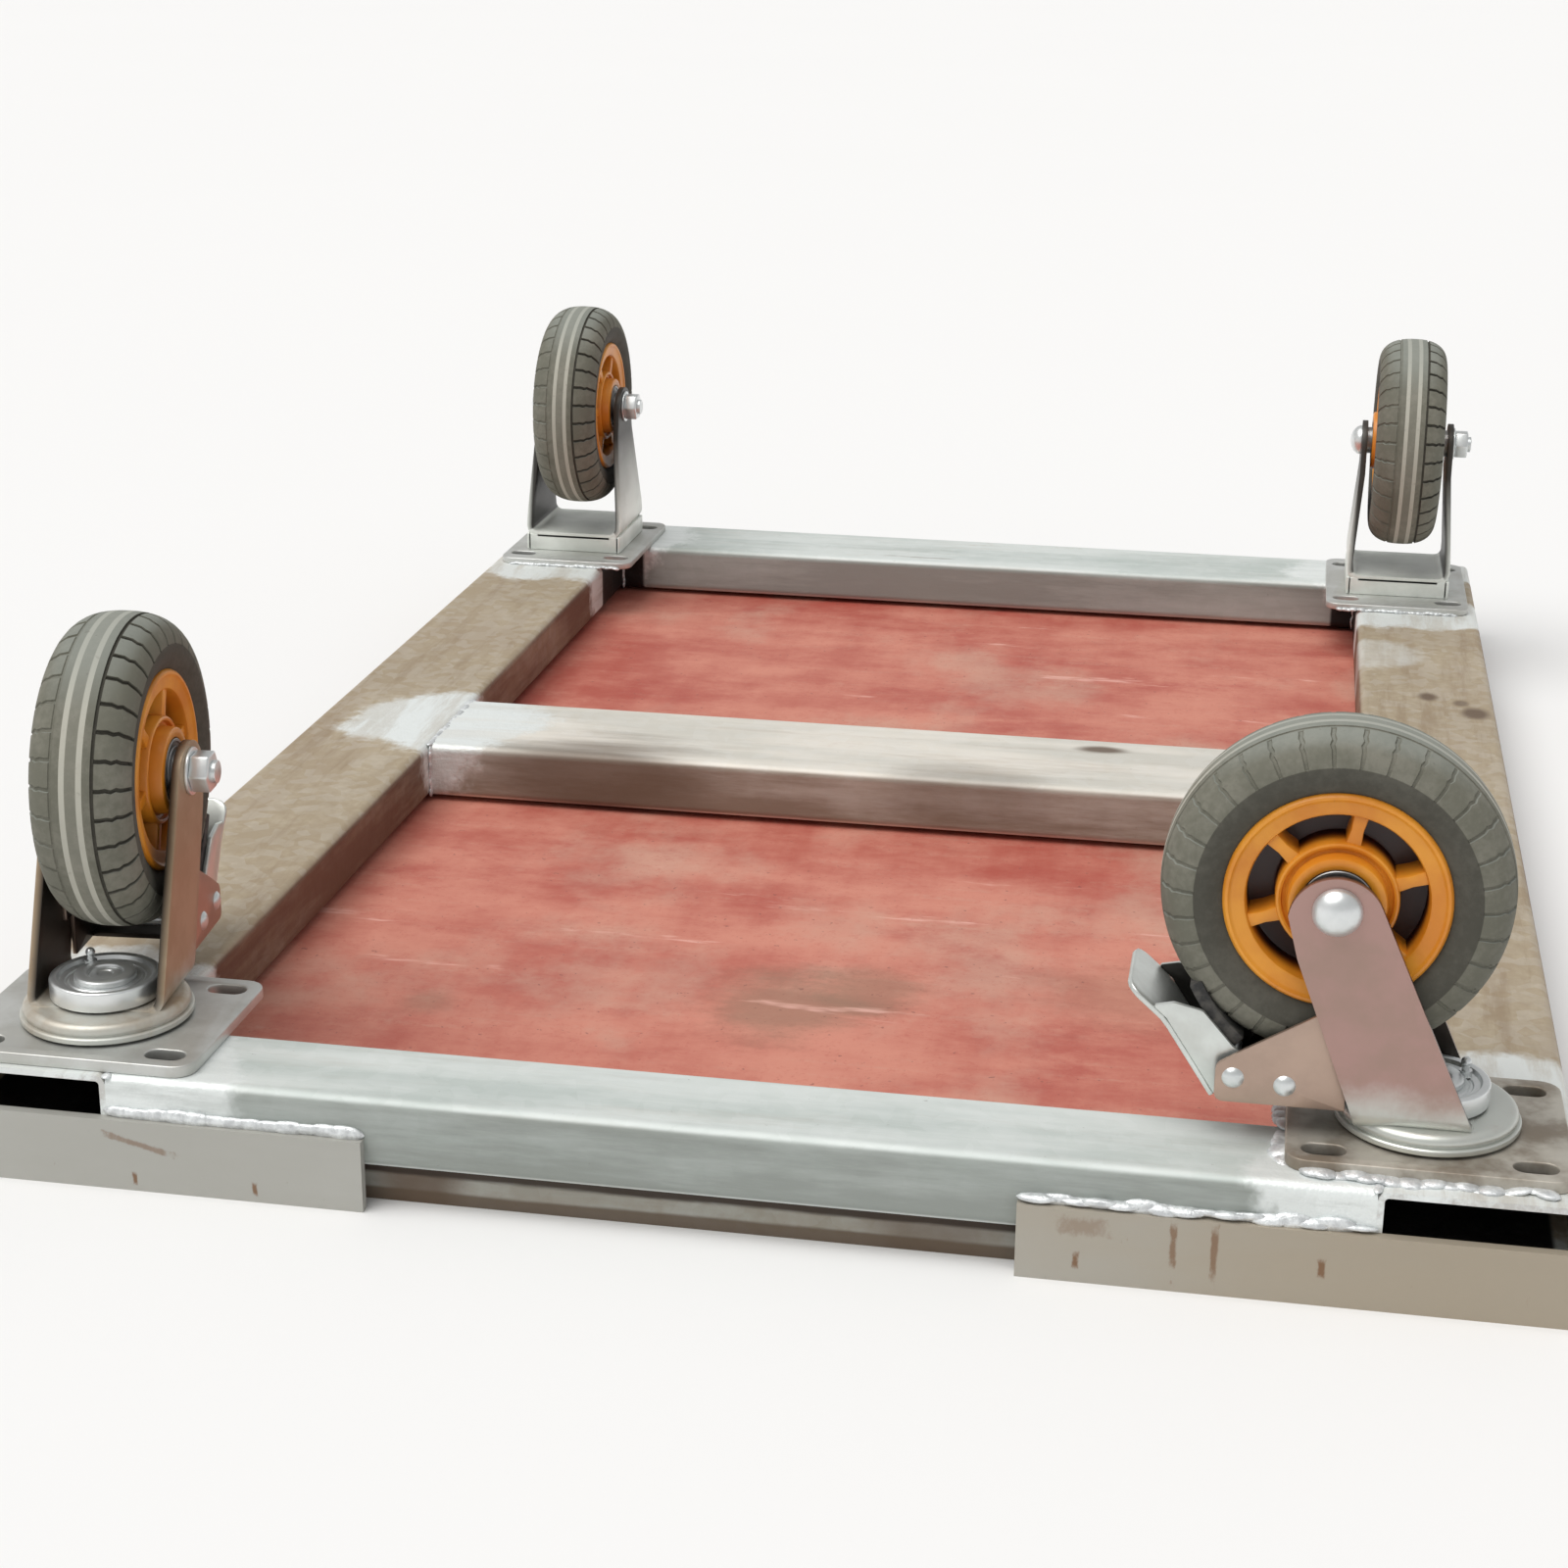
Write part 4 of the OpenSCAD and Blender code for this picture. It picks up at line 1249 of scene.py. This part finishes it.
@dataclass
class BrakeGear:
    """A swivel castor's brake, in the castor's frame: bracket, rivets, pedal and shoe."""

    trail: float
    half_gap: float = 30.0
    sheet: float = 2.5
    low: float = 20.25
    pedal_width: float = 50.0
    press: float = 10.0
    wheel_radius: float = 78.0
    axle_z: float = 117.0
    front: float = 38.0

    @property
    def pivot(self) -> Vector:
        """The pedal's rivet, in the side view."""
        return Vector((self.trail + 40, self.low + 12))

    @property
    def tie(self) -> Vector:
        """The second rivet, in the side view."""
        return Vector((self.trail + 17, self.low + 10))

    def bracket(self) -> Mesh:
        """Two cheeks joined by a web, bent from one sheet."""
        low, end = self.low, self.pivot.x
        outline = rounded([(self.front, low), (end + 8, low), (end + 8, low + 18), (end - 4, low + 26),
                           (self.trail, low + 48), (self.trail - 20, low + 48), (self.trail - 20, low + 22),
                           (self.front, low + 22)], [0.5, 4, 5, 6, 4, 2, 1, 1], 4)
        inner = self.half_gap - self.sheet
        web = slab([(self.trail + 14, low), (end + 4, low), (end + 4, low + self.sheet),
                    (self.trail + 14, low + self.sheet)], -inner - 0.5, inner + 0.5, 0.4)
        # Painted shade marked between the cheeks.
        return shaded_inside(joined([*self._cheeks(outline, self.half_gap), web]), inner, low)

    def _cheeks(self, outline: Sequence[Point2], half: float) -> list[Mesh]:
        """Two cheeks of sheet, whose outer faces are at half on each side."""
        return [slab(outline, s * (half - self.sheet), s * half, 0.5) for s in (-1, 1)]

    def rivets(self) -> Mesh:
        """Two rivets with domed heads at both ends."""
        h = self.half_gap
        profile = mirrored([(h + 2.2, 0.0), (h + 1.9, 2.2), (h + 1.1, 4.0), (h, 5.0), (h, 3.0)])
        return joined([moved(revolved(profile, 28), Matrix.Translation((0, *p))) for p in (self.pivot, self.tie)])

    def pedal(self) -> Mesh:
        """A strip bent into a shank and a tread with rounded corners, carried on two cheeks."""
        foot, knee, tip = (self.pivot + Vector(v) for v in ((8, -11), (31, 24), (48, 39)))
        shank, tread = (knee - foot).normalized(), (tip - knee).normalized()
        out = (Vector((shank.y, -shank.x)) + Vector((tread.y, -tread.x))).normalized() * (self.sheet / 2)
        line = [foot + (knee - foot) * share for share in (0, 0.25, 0.5, 0.75, 0.92)]
        line += [knee + (tip - knee) * share for share in (0.08, 0.3, 0.55, 0.66, 0.76, 0.86, 0.94, 1.0)]
        half, reach = self.pedal_width / 2, 8.0
        rows = []
        for point in line:
            left = (tip - point).length
            width = half - 0.2
            if left < reach:
                width -= reach - math.sqrt(max(0.0, reach ** 2 - (reach - left) ** 2))
            rows.append([(-width + 2 * width * c / 10, point.x + out.x, point.y + out.y) for c in range(11)])
        plate = modified(grid(rows), thickened(self.sheet), bevel(0.7, 3))
        cheek = [foot, knee, knee + tread * 9, self.pivot + Vector((28, 32)), self.pivot + Vector((15, 29)),
                 self.pivot + Vector((1, 13)), self.pivot + Vector((-7, 7)), self.pivot + Vector((-8, -5)),
                 self.pivot + Vector((0, -9))]
        outline = rounded([tuple(p) for p in cheek], [1, 2, 1, 4, 4, 6, 5, 5, 6], 4)
        cheeks = joined(self._cheeks(outline, half))
        # Painted shade marked between the pedal's cheeks.
        return joined([shaded_inside(cheeks, half - self.sheet, self.low), plate])

    def shoe(self) -> Mesh:
        """The curved pad, turned back from the tread by the pedal's travel."""
        centre = Vector((self.trail, self.axle_z))
        inner = self.wheel_radius + 0.4
        outline = arc(tuple(centre), inner, -60, -36, 12) + arc(tuple(centre), inner + 6, -36, -60, 12)
        back = Matrix.Rotation(math.radians(self.press), 2)
        turned = [tuple(self.pivot + back @ (Vector(p) - self.pivot)) for p in outline]
        half = self.pedal_width / 2 - self.sheet
        return slab(turned, -half, half, 0.6)


@dataclass
class CastorPlate:
    """A castor's slotted plate, on Z = 0."""

    size: Point2
    pitch: Point2
    thickness: float
    corner: float = 10.0
    slot_width: float = 11.0
    slot_length: float = 20.0

    def mesh(self) -> Mesh:
        """Builds the plate."""
        reach = (self.slot_length - self.slot_width) / 2
        slot = arc((reach, 0), self.slot_width / 2, -90, 90, 10) + arc((-reach, 0), self.slot_width / 2, 90, 270, 10)
        holes = [[(x * self.pitch[0] / 2 + a, y * self.pitch[1] / 2 + b) for a, b in slot]
                 for x in (-1, 1) for y in (-1, 1)]
        return pierced_plate(rounded_rectangle(*self.size, self.corner), holes, self.thickness, 0.8)


class Side(Enum):
    """A side of the truck."""

    LEFT = "left"
    RIGHT = "right"


@dataclass
class Castor:
    """What the two kinds of castor share: where one stands, and its wheel and axle."""

    side: Side
    dresser: Dresser
    ring: RingRepeat
    kind: str = "fixed"
    wheel: Wheel = field(default_factory=Wheel)

    @property
    def name(self) -> str:
        """The castor's name, such as swivel_left."""
        return f"{self.kind}_{self.side.value}"

    def wheel_place(self, place: Matrix, axle: Point2) -> Matrix:
        """The place of a piece that is built round the wheel's own centre."""
        return place @ Matrix.Translation((0, *axle))

    def build_wheel(self, place: Matrix, axle: Point2) -> None:
        """Builds the tyre, the hub and the bearings."""
        body, at = f"wheel_{self.name}", self.wheel_place(place, axle)
        materials = self.dresser.materials
        for part, mesh, slot in (
                ("tyre", self.wheel.tyre(self.ring, materials["tyre_rubber"]), "tyre_rubber"),
                ("hub", self.wheel.hub(self.ring, materials["hub_plastic"]), "hub_plastic"),
                ("bearings", self.wheel.bearing(), "bearing_steel")):
            self.dresser.stand_in(f"{part}_{self.name}", mesh, at, slot, body)


@dataclass
class FixedCastor(Castor):
    """A castor whose fork is welded to its plate."""

    plate: CastorPlate = field(default_factory=lambda: CastorPlate((106, 140), (76, 104), 5))
    splay: float = 4.5
    base_z: float = 20.0
    half_length: float = 40.0

    def place(self) -> Matrix:
        """Carries the castor's frame to the truck's."""
        centre = box_centre(f"tyre_{self.name}")
        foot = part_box(f"fixed_plate_{self.side.value}")[0][2]
        return Matrix.Translation((centre.x, centre.y, foot)) @ Matrix.Scale(MM, 4)

    def build(self) -> tuple[Mesh, Mesh]:
        """Builds the castor.

        Returns:
            The meshes of its axle bolt and its nut, in place: both fixed castors share one frame node for each.
        """
        place = self.place()
        axle = (0.0, (box_centre(f"tyre_{self.name}").z - place.translation.z) / MM)
        side = self.side.value
        self.dresser.stand_in(f"fixed_plate_{side}", self.plate.mesh(), place, "castor_plate")
        fork = Fork(axle, (-self.half_length, self.half_length), self.base_z - 2, splay=self.splay)
        mesh = joined([fork.bent(), *self._skirt(fork)])
        self.dresser.stand_in(f"fixed_fork_{side}", mesh, place, "castor_fork", finish="fixed_fork")
        self.build_wheel(place, axle)
        at = self.wheel_place(place, axle)
        return moved(Axle().bolt(), at), moved(Axle().nut(), at)

    def _skirt(self, fork: Fork) -> list[Mesh]:
        """The lips and cheeks that carry the raised base down to the plate."""
        low, high = self.plate.thickness, self.base_z - 1.5
        wide = fork.half_gap + fork.sheet + self.splay
        parts = []
        for s in (-1, 1):
            lip = [(s * self.half_length, low), (s * (self.half_length - 3.5), low),
                   (s * (self.half_length - 3.5), high), (s * self.half_length, high)]
            cheek = [(-self.half_length, low), (self.half_length, low), (self.half_length, high),
                     (-self.half_length, high)]
            parts += [slab(lip, -wide + 1, wide - 1, 1.0, 3), slab(cheek, s * wide, s * (wide - 4), 1.0, 3)]
        return parts


@dataclass
class SwivelCastor(Castor):
    """A castor that turns on a kingpin, with a brake."""

    kind: str = "swivel"
    plate: CastorPlate = field(default_factory=lambda: CastorPlate((126, 106), (92, 80), 6))
    head: SwivelHead = field(default_factory=SwivelHead)
    foot: Point2 = (-19.0, 33.0)
    plate_finish: str = "castor_plate"

    def build(self) -> None:
        """Builds the castor round its kingpin."""
        side = self.side.value
        pin = box_centre(f"kingpin_{side}")
        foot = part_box(f"kingpin_{side}")[0][2]
        run = box_centre(f"tyre_{self.name}") - Vector((pin.x, pin.y, foot))
        heading = math.atan2(-run.x, run.y)
        trail, axle_z = math.hypot(run.x, run.y) / MM, run.z / MM
        still = Matrix.Translation((pin.x, pin.y, foot)) @ Matrix.Scale(MM, 4)
        place = still @ Matrix.Rotation(heading, 4, "Z")
        axle, body, pedal_body = (trail, axle_z), f"swivel_{side}", f"pedal_{side}"
        at = self.wheel_place(place, axle)
        fork = Fork(axle, self.foot, (self.head.crown_low + self.head.crown_top) / 2)
        gear = BrakeGear(trail, axle_z=axle_z)
        fastener = "bright_fastener"
        for node, mesh, where, slot, rides_on, finish in (
                ("swivel_plate", self.plate.mesh(), still, "castor_plate", "frame", self.plate_finish),
                ("race_cup", self.head.cup(), still, fastener, "frame", None),
                ("kingpin_nut", self.head.collar(), still, fastener, "frame", None),
                ("kingpin", self.head.kingpin(), still, fastener, "frame", None),
                ("swivel_fork", joined([fork.bent(), self.head.crown()]), place, "castor_fork", body, f"fork_{side}"),
                ("axle_bolt", Axle().bolt(), at, fastener, body, None),
                ("axle_nut", Axle().nut(), at, fastener, body, None),
                ("brake_bracket", gear.bracket(), place, "brake_steel", body, "brake_bracket"),
                ("brake_rivets", gear.rivets(), place, fastener, body, None),
                ("brake_pedal", gear.pedal(), place, "brake_steel", pedal_body, None),
                ("brake_shoe", gear.shoe(), place, "brake_pad", pedal_body, None)):
            self.dresser.stand_in(f"{node}_{side}", mesh, where, slot, rides_on, finish)
        self.build_wheel(place, axle)


@dataclass
class Welds:
    """The frame's weld beads, laid along the edges where its pieces meet."""

    dresser: Dresser
    pitch: float = 3.2
    seed: int = 11

    def build(self) -> None:
        """Lays every bead and makes them one piece."""
        tree = BeadRun()
        labels = ("Width", "Height", "Pitch", "Wander")
        runs = ((self._plate_tops(), (2.0, 3.5, 9.0, 0.2)), (self._splashed_plate(), (5.0, 1.8, 6.0, 1.2)),
                (self._fixed_plates(), (2.4, 1.2, self.pitch, 0.4)), (self._beam_ends(), (2.2, 0.9, self.pitch, 0.4)))
        beads = []
        for seed, (lines, sizes) in enumerate(runs, self.seed):
            points = [[c / MM for c in end] for line in lines for end in line]
            path = mesh_from(points, edges=[(i, i + 1) for i in range(0, len(points), 2)])
            beads.append(tree.run(path, {**dict(zip(labels, sizes)), "Seed": seed,
                                         "Material": self.dresser.materials["weld_metal"]}))
        self.dresser.piece("weld_beads", joined(beads), Matrix.Scale(MM, 4), "corner_plate", "frame", smooth=80,
                           finish="weld_metal")

    @staticmethod
    def _plate_tops() -> list[list[Point3]]:
        """Along the top edges of the corner plates, from the side tube to the plate's inner end."""
        lines = []
        for side, toward in (("left", 1), ("right", -1)):
            low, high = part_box(f"corner_plate_{side}")
            tube_low, tube_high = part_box(f"side_beam_{side}")
            face = (tube_high if toward > 0 else tube_low)[0]
            end = (high if toward > 0 else low)[0]
            y, z = high[1] - 0.6 * MM, high[2] + 2.2 * MM
            lines.append([(face + toward * 8 * MM, y, z), (end - toward * 9 * MM, y, z)])
        return lines

    @staticmethod
    def _splashed_plate() -> list[list[Point3]]:
        """Round the right swivel plate, where the weld is wide and splashed."""
        low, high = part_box("swivel_plate_right")
        z, inset = low[2] + 0.4 * MM, 12 * MM
        return [[(low[0] + inset, low[1] - 1 * MM, z), (high[0] - inset, low[1] - 1 * MM, z)],
                [(low[0] - 1 * MM, low[1] + inset, z), (low[0] - 1 * MM, high[1] - inset, z)]]

    @staticmethod
    def _fixed_plates() -> list[list[Point3]]:
        """Along the near and far edges of the fixed castors' plates."""
        lines = []
        for side in ("left", "right"):
            low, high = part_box(f"fixed_plate_{side}")
            z, inset = low[2] + 0.8 * MM, 11 * MM
            lines += [[(low[0] + inset, y, z), (high[0] - inset, y, z)] for y in (low[1], high[1])]
        return lines

    @staticmethod
    def _beam_ends() -> list[list[Point3]]:
        """Across the cross beams' ends, on top and down the faces that meet a side beam."""
        lines = []
        for node, inner_faces in (("swivel_end_beam", (1,)), ("mid_beam", (0, 1)), ("fixed_end_beam", (0,))):
            low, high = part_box(node)
            for x in (low[0], high[0]):
                toward = 1 if x < 0 else -1
                top = high[2] - 0.6 * MM
                lines.append([(x, low[1] + 3 * MM, top), (x, high[1] - 3 * MM, top)])
                at = x + toward * 0.6 * MM
                for y in ((low[1], high[1])[face] for face in inner_faces):
                    lines.append([(at, y, high[2] - 4 * MM), (at, y, low[2] + 3 * MM)])
        return lines


@dataclass
class Chassis:
    """The tube frame, the deck and the corner plates, which keep the frame's own shapes."""

    dresser: Dresser
    nodes: dict[str, Object]

    def build(self) -> None:
        """Dresses the chassis, and the nodes inside the castors."""
        for finish, nodes in {
                "side_tube": "side_beam_left side_beam_right",
                "end_tube": "swivel_end_beam fixed_end_beam",
                "mid_tube": "mid_beam",
                "deck_board": "deck_board",
                "deck_rim": "rim_swivel_end rim_fixed_end rim_left rim_right",
                "corner_plate": "corner_plate_left corner_plate_right",
                "bearing_steel": "race_balls_left race_balls_right fixed_axle_sleeves axle_sleeve_left "
                                 "axle_sleeve_right",
                "bright_fastener": "grease_nipples"}.items():
            self.dresser.dress(nodes.split(), self.nodes, finish)


@dataclass
class Studio:
    """A pale floor, soft light and the camera."""

    floor_size: float = 150.0
    floor_colour: Colour = (0.84, 0.84, 0.84)
    sky: float = 0.50
    sun: float = 2.2
    sun_from: Point3 = (-0.36, -0.28, 1.0)
    sun_angle: float = 50.0
    camera_at: Point3 = (0.2325, -1.6735, 0.6181)
    yaw: float = -10.29
    pitch: float = -19.105
    roll: float = 0.515
    lens: float = 63.77

    def build(self) -> None:
        """Builds the stage."""
        self._floor()
        self._sky()
        self._sun()
        self._camera()
        bpy.context.scene.view_settings.view_transform = "Standard"

    def _floor(self) -> None:
        """A pale floor under the truck."""
        half = self.floor_size / 2
        corners = [(-half, -half, 0), (half, -half, 0), (half, half, 0), (-half, half, 0)]
        mesh = bpy.data.meshes.new("floor")
        mesh.from_pydata(corners, [], [(0, 1, 2, 3)])
        paint = Paint("floor", Roughness=0.9, Specular_IOR_Level=0.1)
        cloud = paint.noise(1.2, 3)
        mesh.materials.append(paint.finish(paint.mix(cloud * 0.3, self.floor_colour, (0.87, 0.87, 0.87))))
        linked("floor", mesh)

    def _sky(self) -> None:
        """White light from all round, brightest at the horizon, where it meets the floor."""
        world = bpy.data.worlds.new("sky")
        world.use_nodes = True
        background = world.node_tree.nodes["Background"]
        background.inputs["Color"].default_value = (1.0, 1.0, 1.0, 1.0)
        sky = Graph(world.node_tree)
        up = sky.wire("ShaderNodeSeparateXYZ", {}, {0: sky.wire("ShaderNodeTexCoord", output="Generated")}, 2)
        strength = sky.wire("ShaderNodeMapRange", {"interpolation_type": "SMOOTHSTEP"},
                            {0: up, 1: 0.03, 2: 0.22, 3: 0.96, 4: self.sky})
        sky.tree.links.new(strength.socket, background.inputs["Strength"])
        bpy.context.scene.world = world

    def _sun(self) -> None:
        """One broad soft light from the upper left."""
        light = bpy.data.lights.new("sun", "SUN")
        light.energy = self.sun
        light.angle = math.radians(self.sun_angle)
        light.color = (1.0, 0.985, 0.96)
        linked("sun", light).rotation_euler = (-Vector(self.sun_from)).to_track_quat("-Z", "Y").to_euler()

    def _camera(self) -> None:
        """The camera, looking down along the truck with a slight roll."""
        yaw, pitch, roll = (math.radians(v) for v in (self.yaw, self.pitch, self.roll))
        ahead = Vector((math.sin(yaw) * math.cos(pitch), math.cos(yaw) * math.cos(pitch), math.sin(pitch)))
        right = ahead.cross(Vector((0, 0, 1))).normalized()
        up = right.cross(ahead)
        across = right * math.cos(roll) + up * math.sin(roll)
        above = up * math.cos(roll) - right * math.sin(roll)
        camera = bpy.data.cameras.new("camera")
        camera.sensor_width = 36
        camera.lens = self.lens
        camera.clip_end = 200
        eye = linked("camera", camera)
        turn = Matrix((across, above, -ahead)).transposed().to_4x4()
        eye.matrix_world = Matrix.Translation(self.camera_at) @ turn
        bpy.context.scene.camera = eye


CASTOR_PLATES = ("swivel_plate_left", "swivel_plate_right", "fixed_plate_left", "fixed_plate_right")


def silver_patches() -> tuple[Patch, ...]:
    """Where the frame was sprayed after welding: at its joints, round its castor plates and on the right beam."""
    patches = []
    for node, reach in (("swivel_end_beam", 0.050), ("mid_beam", 0.066), ("fixed_end_beam", 0.050)):
        low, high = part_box(node)
        patches += [Patch((x, (low[1] + high[1]) / 2, high[2]), reach) for x in (low[0], high[0])]
    for node in CASTOR_PLATES:
        low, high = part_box(node)
        patches += [Patch((x, y, low[2]), 0.045, 0.9) for x in (low[0] + 0.03, high[0] - 0.02)
                    for y in (low[1], high[1])]
    patches.append(Patch((0.304, 0.29, 0.056), 0.038, 0.42, (1.0, 0.13, 1.0)))
    return tuple(patches)


def footprint(node: str) -> tuple[Point2, Point2]:
    """The centre and half size, in X and Y, of what a node covers."""
    low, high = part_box(node)
    return tuple((low[i] + high[i]) / 2 for i in (0, 1)), tuple((high[i] - low[i]) / 2 for i in (0, 1))


def rust_drips() -> tuple[Patch, ...]:
    """Drips and ticks of rust down the corner plates' outer faces."""
    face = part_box("corner_plate_left")[0][1]
    scratch, streak, blot, tick = (0.10, 1, 1), (1.0, 1.0, 0.13), (0.45, 1, 1.2), (1.0, 1.0, 0.4)
    return tuple(Patch((x, face, z), radius, strength, stretch, slope) for x, z, radius, strength, stretch, slope in (
        (-0.278, 0.0245, 0.0017, 0.6, scratch, 0.24), (-0.2807, 0.006, 0.0013, 0.9, tick, 0.0),
        (-0.221, 0.007, 0.0013, 0.9, tick, 0.0), (0.208, 0.022, 0.0016, 0.75, streak, 0.0),
        (0.226, 0.021, 0.0016, 0.75, streak, 0.0), (0.167, 0.028, 0.0050, 0.4, blot, 0.0),
        (0.165, 0.011, 0.0016, 0.9, tick, 0.0), (0.273, 0.018, 0.0016, 0.9, tick, 0.0)))


def tubes() -> list[Galvanised]:
    """The finishes of the frame's tubes and of the rim angle."""
    patches, covered = silver_patches(), tuple(footprint(node) for node in CASTOR_PLATES)
    low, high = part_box("mid_beam")
    knocks = tuple(Patch((x, y, high[2]), radius, strength, (wide, 0.7, 0.3)) for x, y, radius, strength, wide in (
        (0.341, 0.193, 0.0075, 0.9, 1.0), (0.371, 0.160, 0.0095, 0.9, 0.9), (0.362, 0.182, 0.0055, 0.7, 1.0)))
    mid_stains = (Patch((-0.185, low[1], 0.036), 0.055, 0.75, (0.7, 1.0, 1.3)),
                  Patch((0.130, 0.032, high[2]), 0.009, 0.9, (0.5, 1.2, 1.0)),
                  Patch((0.05, low[1], 0.050), 0.040, 0.35, (0.7, 1.0, 1.3)))
    rim_stains = (Patch((-0.145, -0.5495, 0.012), 0.028, 0.85, (1.0, 0.3, 1.0)),
                  Patch((0.10, -0.5495, 0.014), 0.030, 0.6, (0.7, 0.3, 1.0)))
    return [
        # Each side colour and share paints shade on the tube's upright faces, reddish-brown on the side and mid tubes
        # for the red deck's reflection.
        Galvanised("side_tube", Grain.ALONG, (0.38, 0.30, 0.205), (0.56, 0.49, 0.365), TAN, 0.68, SIDE_SHADE_RED_BROWN, 0.92,
                   patches, knocks, covered),
        Galvanised("end_tube", Grain.ACROSS, (0.50, 0.555, 0.53), (0.66, 0.70, 0.68), (0.50, 0.44, 0.36), 0.18,
                   (0.235, 0.255, 0.232), 0.85, patches, (), covered),
        Galvanised("mid_tube", Grain.ACROSS, (0.62, 0.60, 0.54), (0.76, 0.72, 0.65), (0.58, 0.44, 0.36), 0.30,
                   (0.20, 0.145, 0.100), 0.88, patches, mid_stains),
        # The rim's upper band, just under the beam, is a painted shadow; below it the rim turns darker brown towards
        # the bottom.
        Galvanised("deck_rim", Grain.ACROSS, (0.36, 0.36, 0.31), (0.46, 0.46, 0.42), (0.30, 0.25, 0.18), 0.45,
                   (0.30, 0.29, 0.25), 0.4, marks=rim_stains,
                   strata=((0.0070, (0.115, 0.075, 0.045), 0.85), (0.0145, (0.035, 0.02, 0.012), -0.95)))]


def zinc_plates() -> list[ZincPlate]:
    """The finishes of the castors' steel."""
    return [ZincPlate(*values) for values in (
        ("castor_plate", (0.62, 0.63, 0.61), (0.50, 0.50, 0.47), 0.42, 0.7),
        ("dirty_plate", (0.52, 0.49, 0.43), (0.24, 0.20, 0.155), 0.48, 0.5),
        # The forks' pinkish tan above their silver feet is a painted reflection of the red deck.
        ("fork_left", (0.42, 0.32, 0.215), (0.36, 0.26, 0.165), 0.40, 0.45, OLD_SILVER, 0.085),
        ("fork_right", (0.42, 0.265, 0.235), (0.37, 0.25, 0.21), 0.36, 0.7, OLD_SILVER, 0.095),
        ("fixed_fork", (0.84, 0.87, 0.82), (0.70, 0.73, 0.68), 0.42, 0.35),
        ("bright_fastener", (0.80, 0.82, 0.82), (0.66, 0.69, 0.69), 0.33, 0.85),
        ("bearing_steel", (0.40, 0.40, 0.40), (0.28, 0.27, 0.26), 0.35, 0.9),
        ("brake_steel", (0.74, 0.78, 0.75), (0.62, 0.64, 0.61), 0.30, 0.7),
        ("brake_bracket", (0.49, 0.36, 0.29), (0.42, 0.31, 0.25), 0.36, 0.8))]


def finishes() -> dict[str, Material]:
    """Every material, by the name that the pieces use."""
    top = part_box("deck_board")[1][2]
    stains = tuple(Patch((x, y, top), radius, strength) for x, y, radius, strength in (
        (-0.01, -0.33, 0.055, 0.6), (0.03, -0.30, 0.035, 0.5), (-0.20, -0.36, 0.02, 0.35), (0.17, -0.28, 0.06, 0.3)))
    made = {finish.name: finish for finish in (*tubes(), *zinc_plates(), TyreRubber(), HubPlastic(), WeldMetal())}
    made |= {"deck_board": FilmPlywood(stains=stains), "brake_pad": BlackRubber(),
             "corner_plate": SprayedSteel(drips=rust_drips(), dust_from=0.05)}
    return {name: finish.material() for name, finish in made.items()}


def main() -> None:
    """Builds the truck and its studio, and reports each piece."""
    logging.basicConfig(level=logging.INFO, format="%(name)s: %(message)s")
    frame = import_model()
    Studio().build()
    dresser = Dresser(finishes())
    Chassis(dresser, frame["nodes"]).build()
    ring = RingRepeat()
    for side, spokes_at, plate in ((Side.LEFT, 0.2, "castor_plate"), (Side.RIGHT, math.radians(41), "dirty_plate")):
        SwivelCastor(side, dresser, ring, wheel=Wheel(spoke_phase=spokes_at), plate_finish=plate).build()
    bolts, nuts = zip(*(FixedCastor(side, dresser, ring).build() for side in Side))
    for node, meshes in (("fixed_axle_bolts", bolts), ("fixed_axle_nuts", nuts)):
        dresser.stand_in(node, joined(meshes), Matrix.Identity(4), "bright_fastener")
    Welds(dresser).build()


if __name__ == "__main__":
    main()
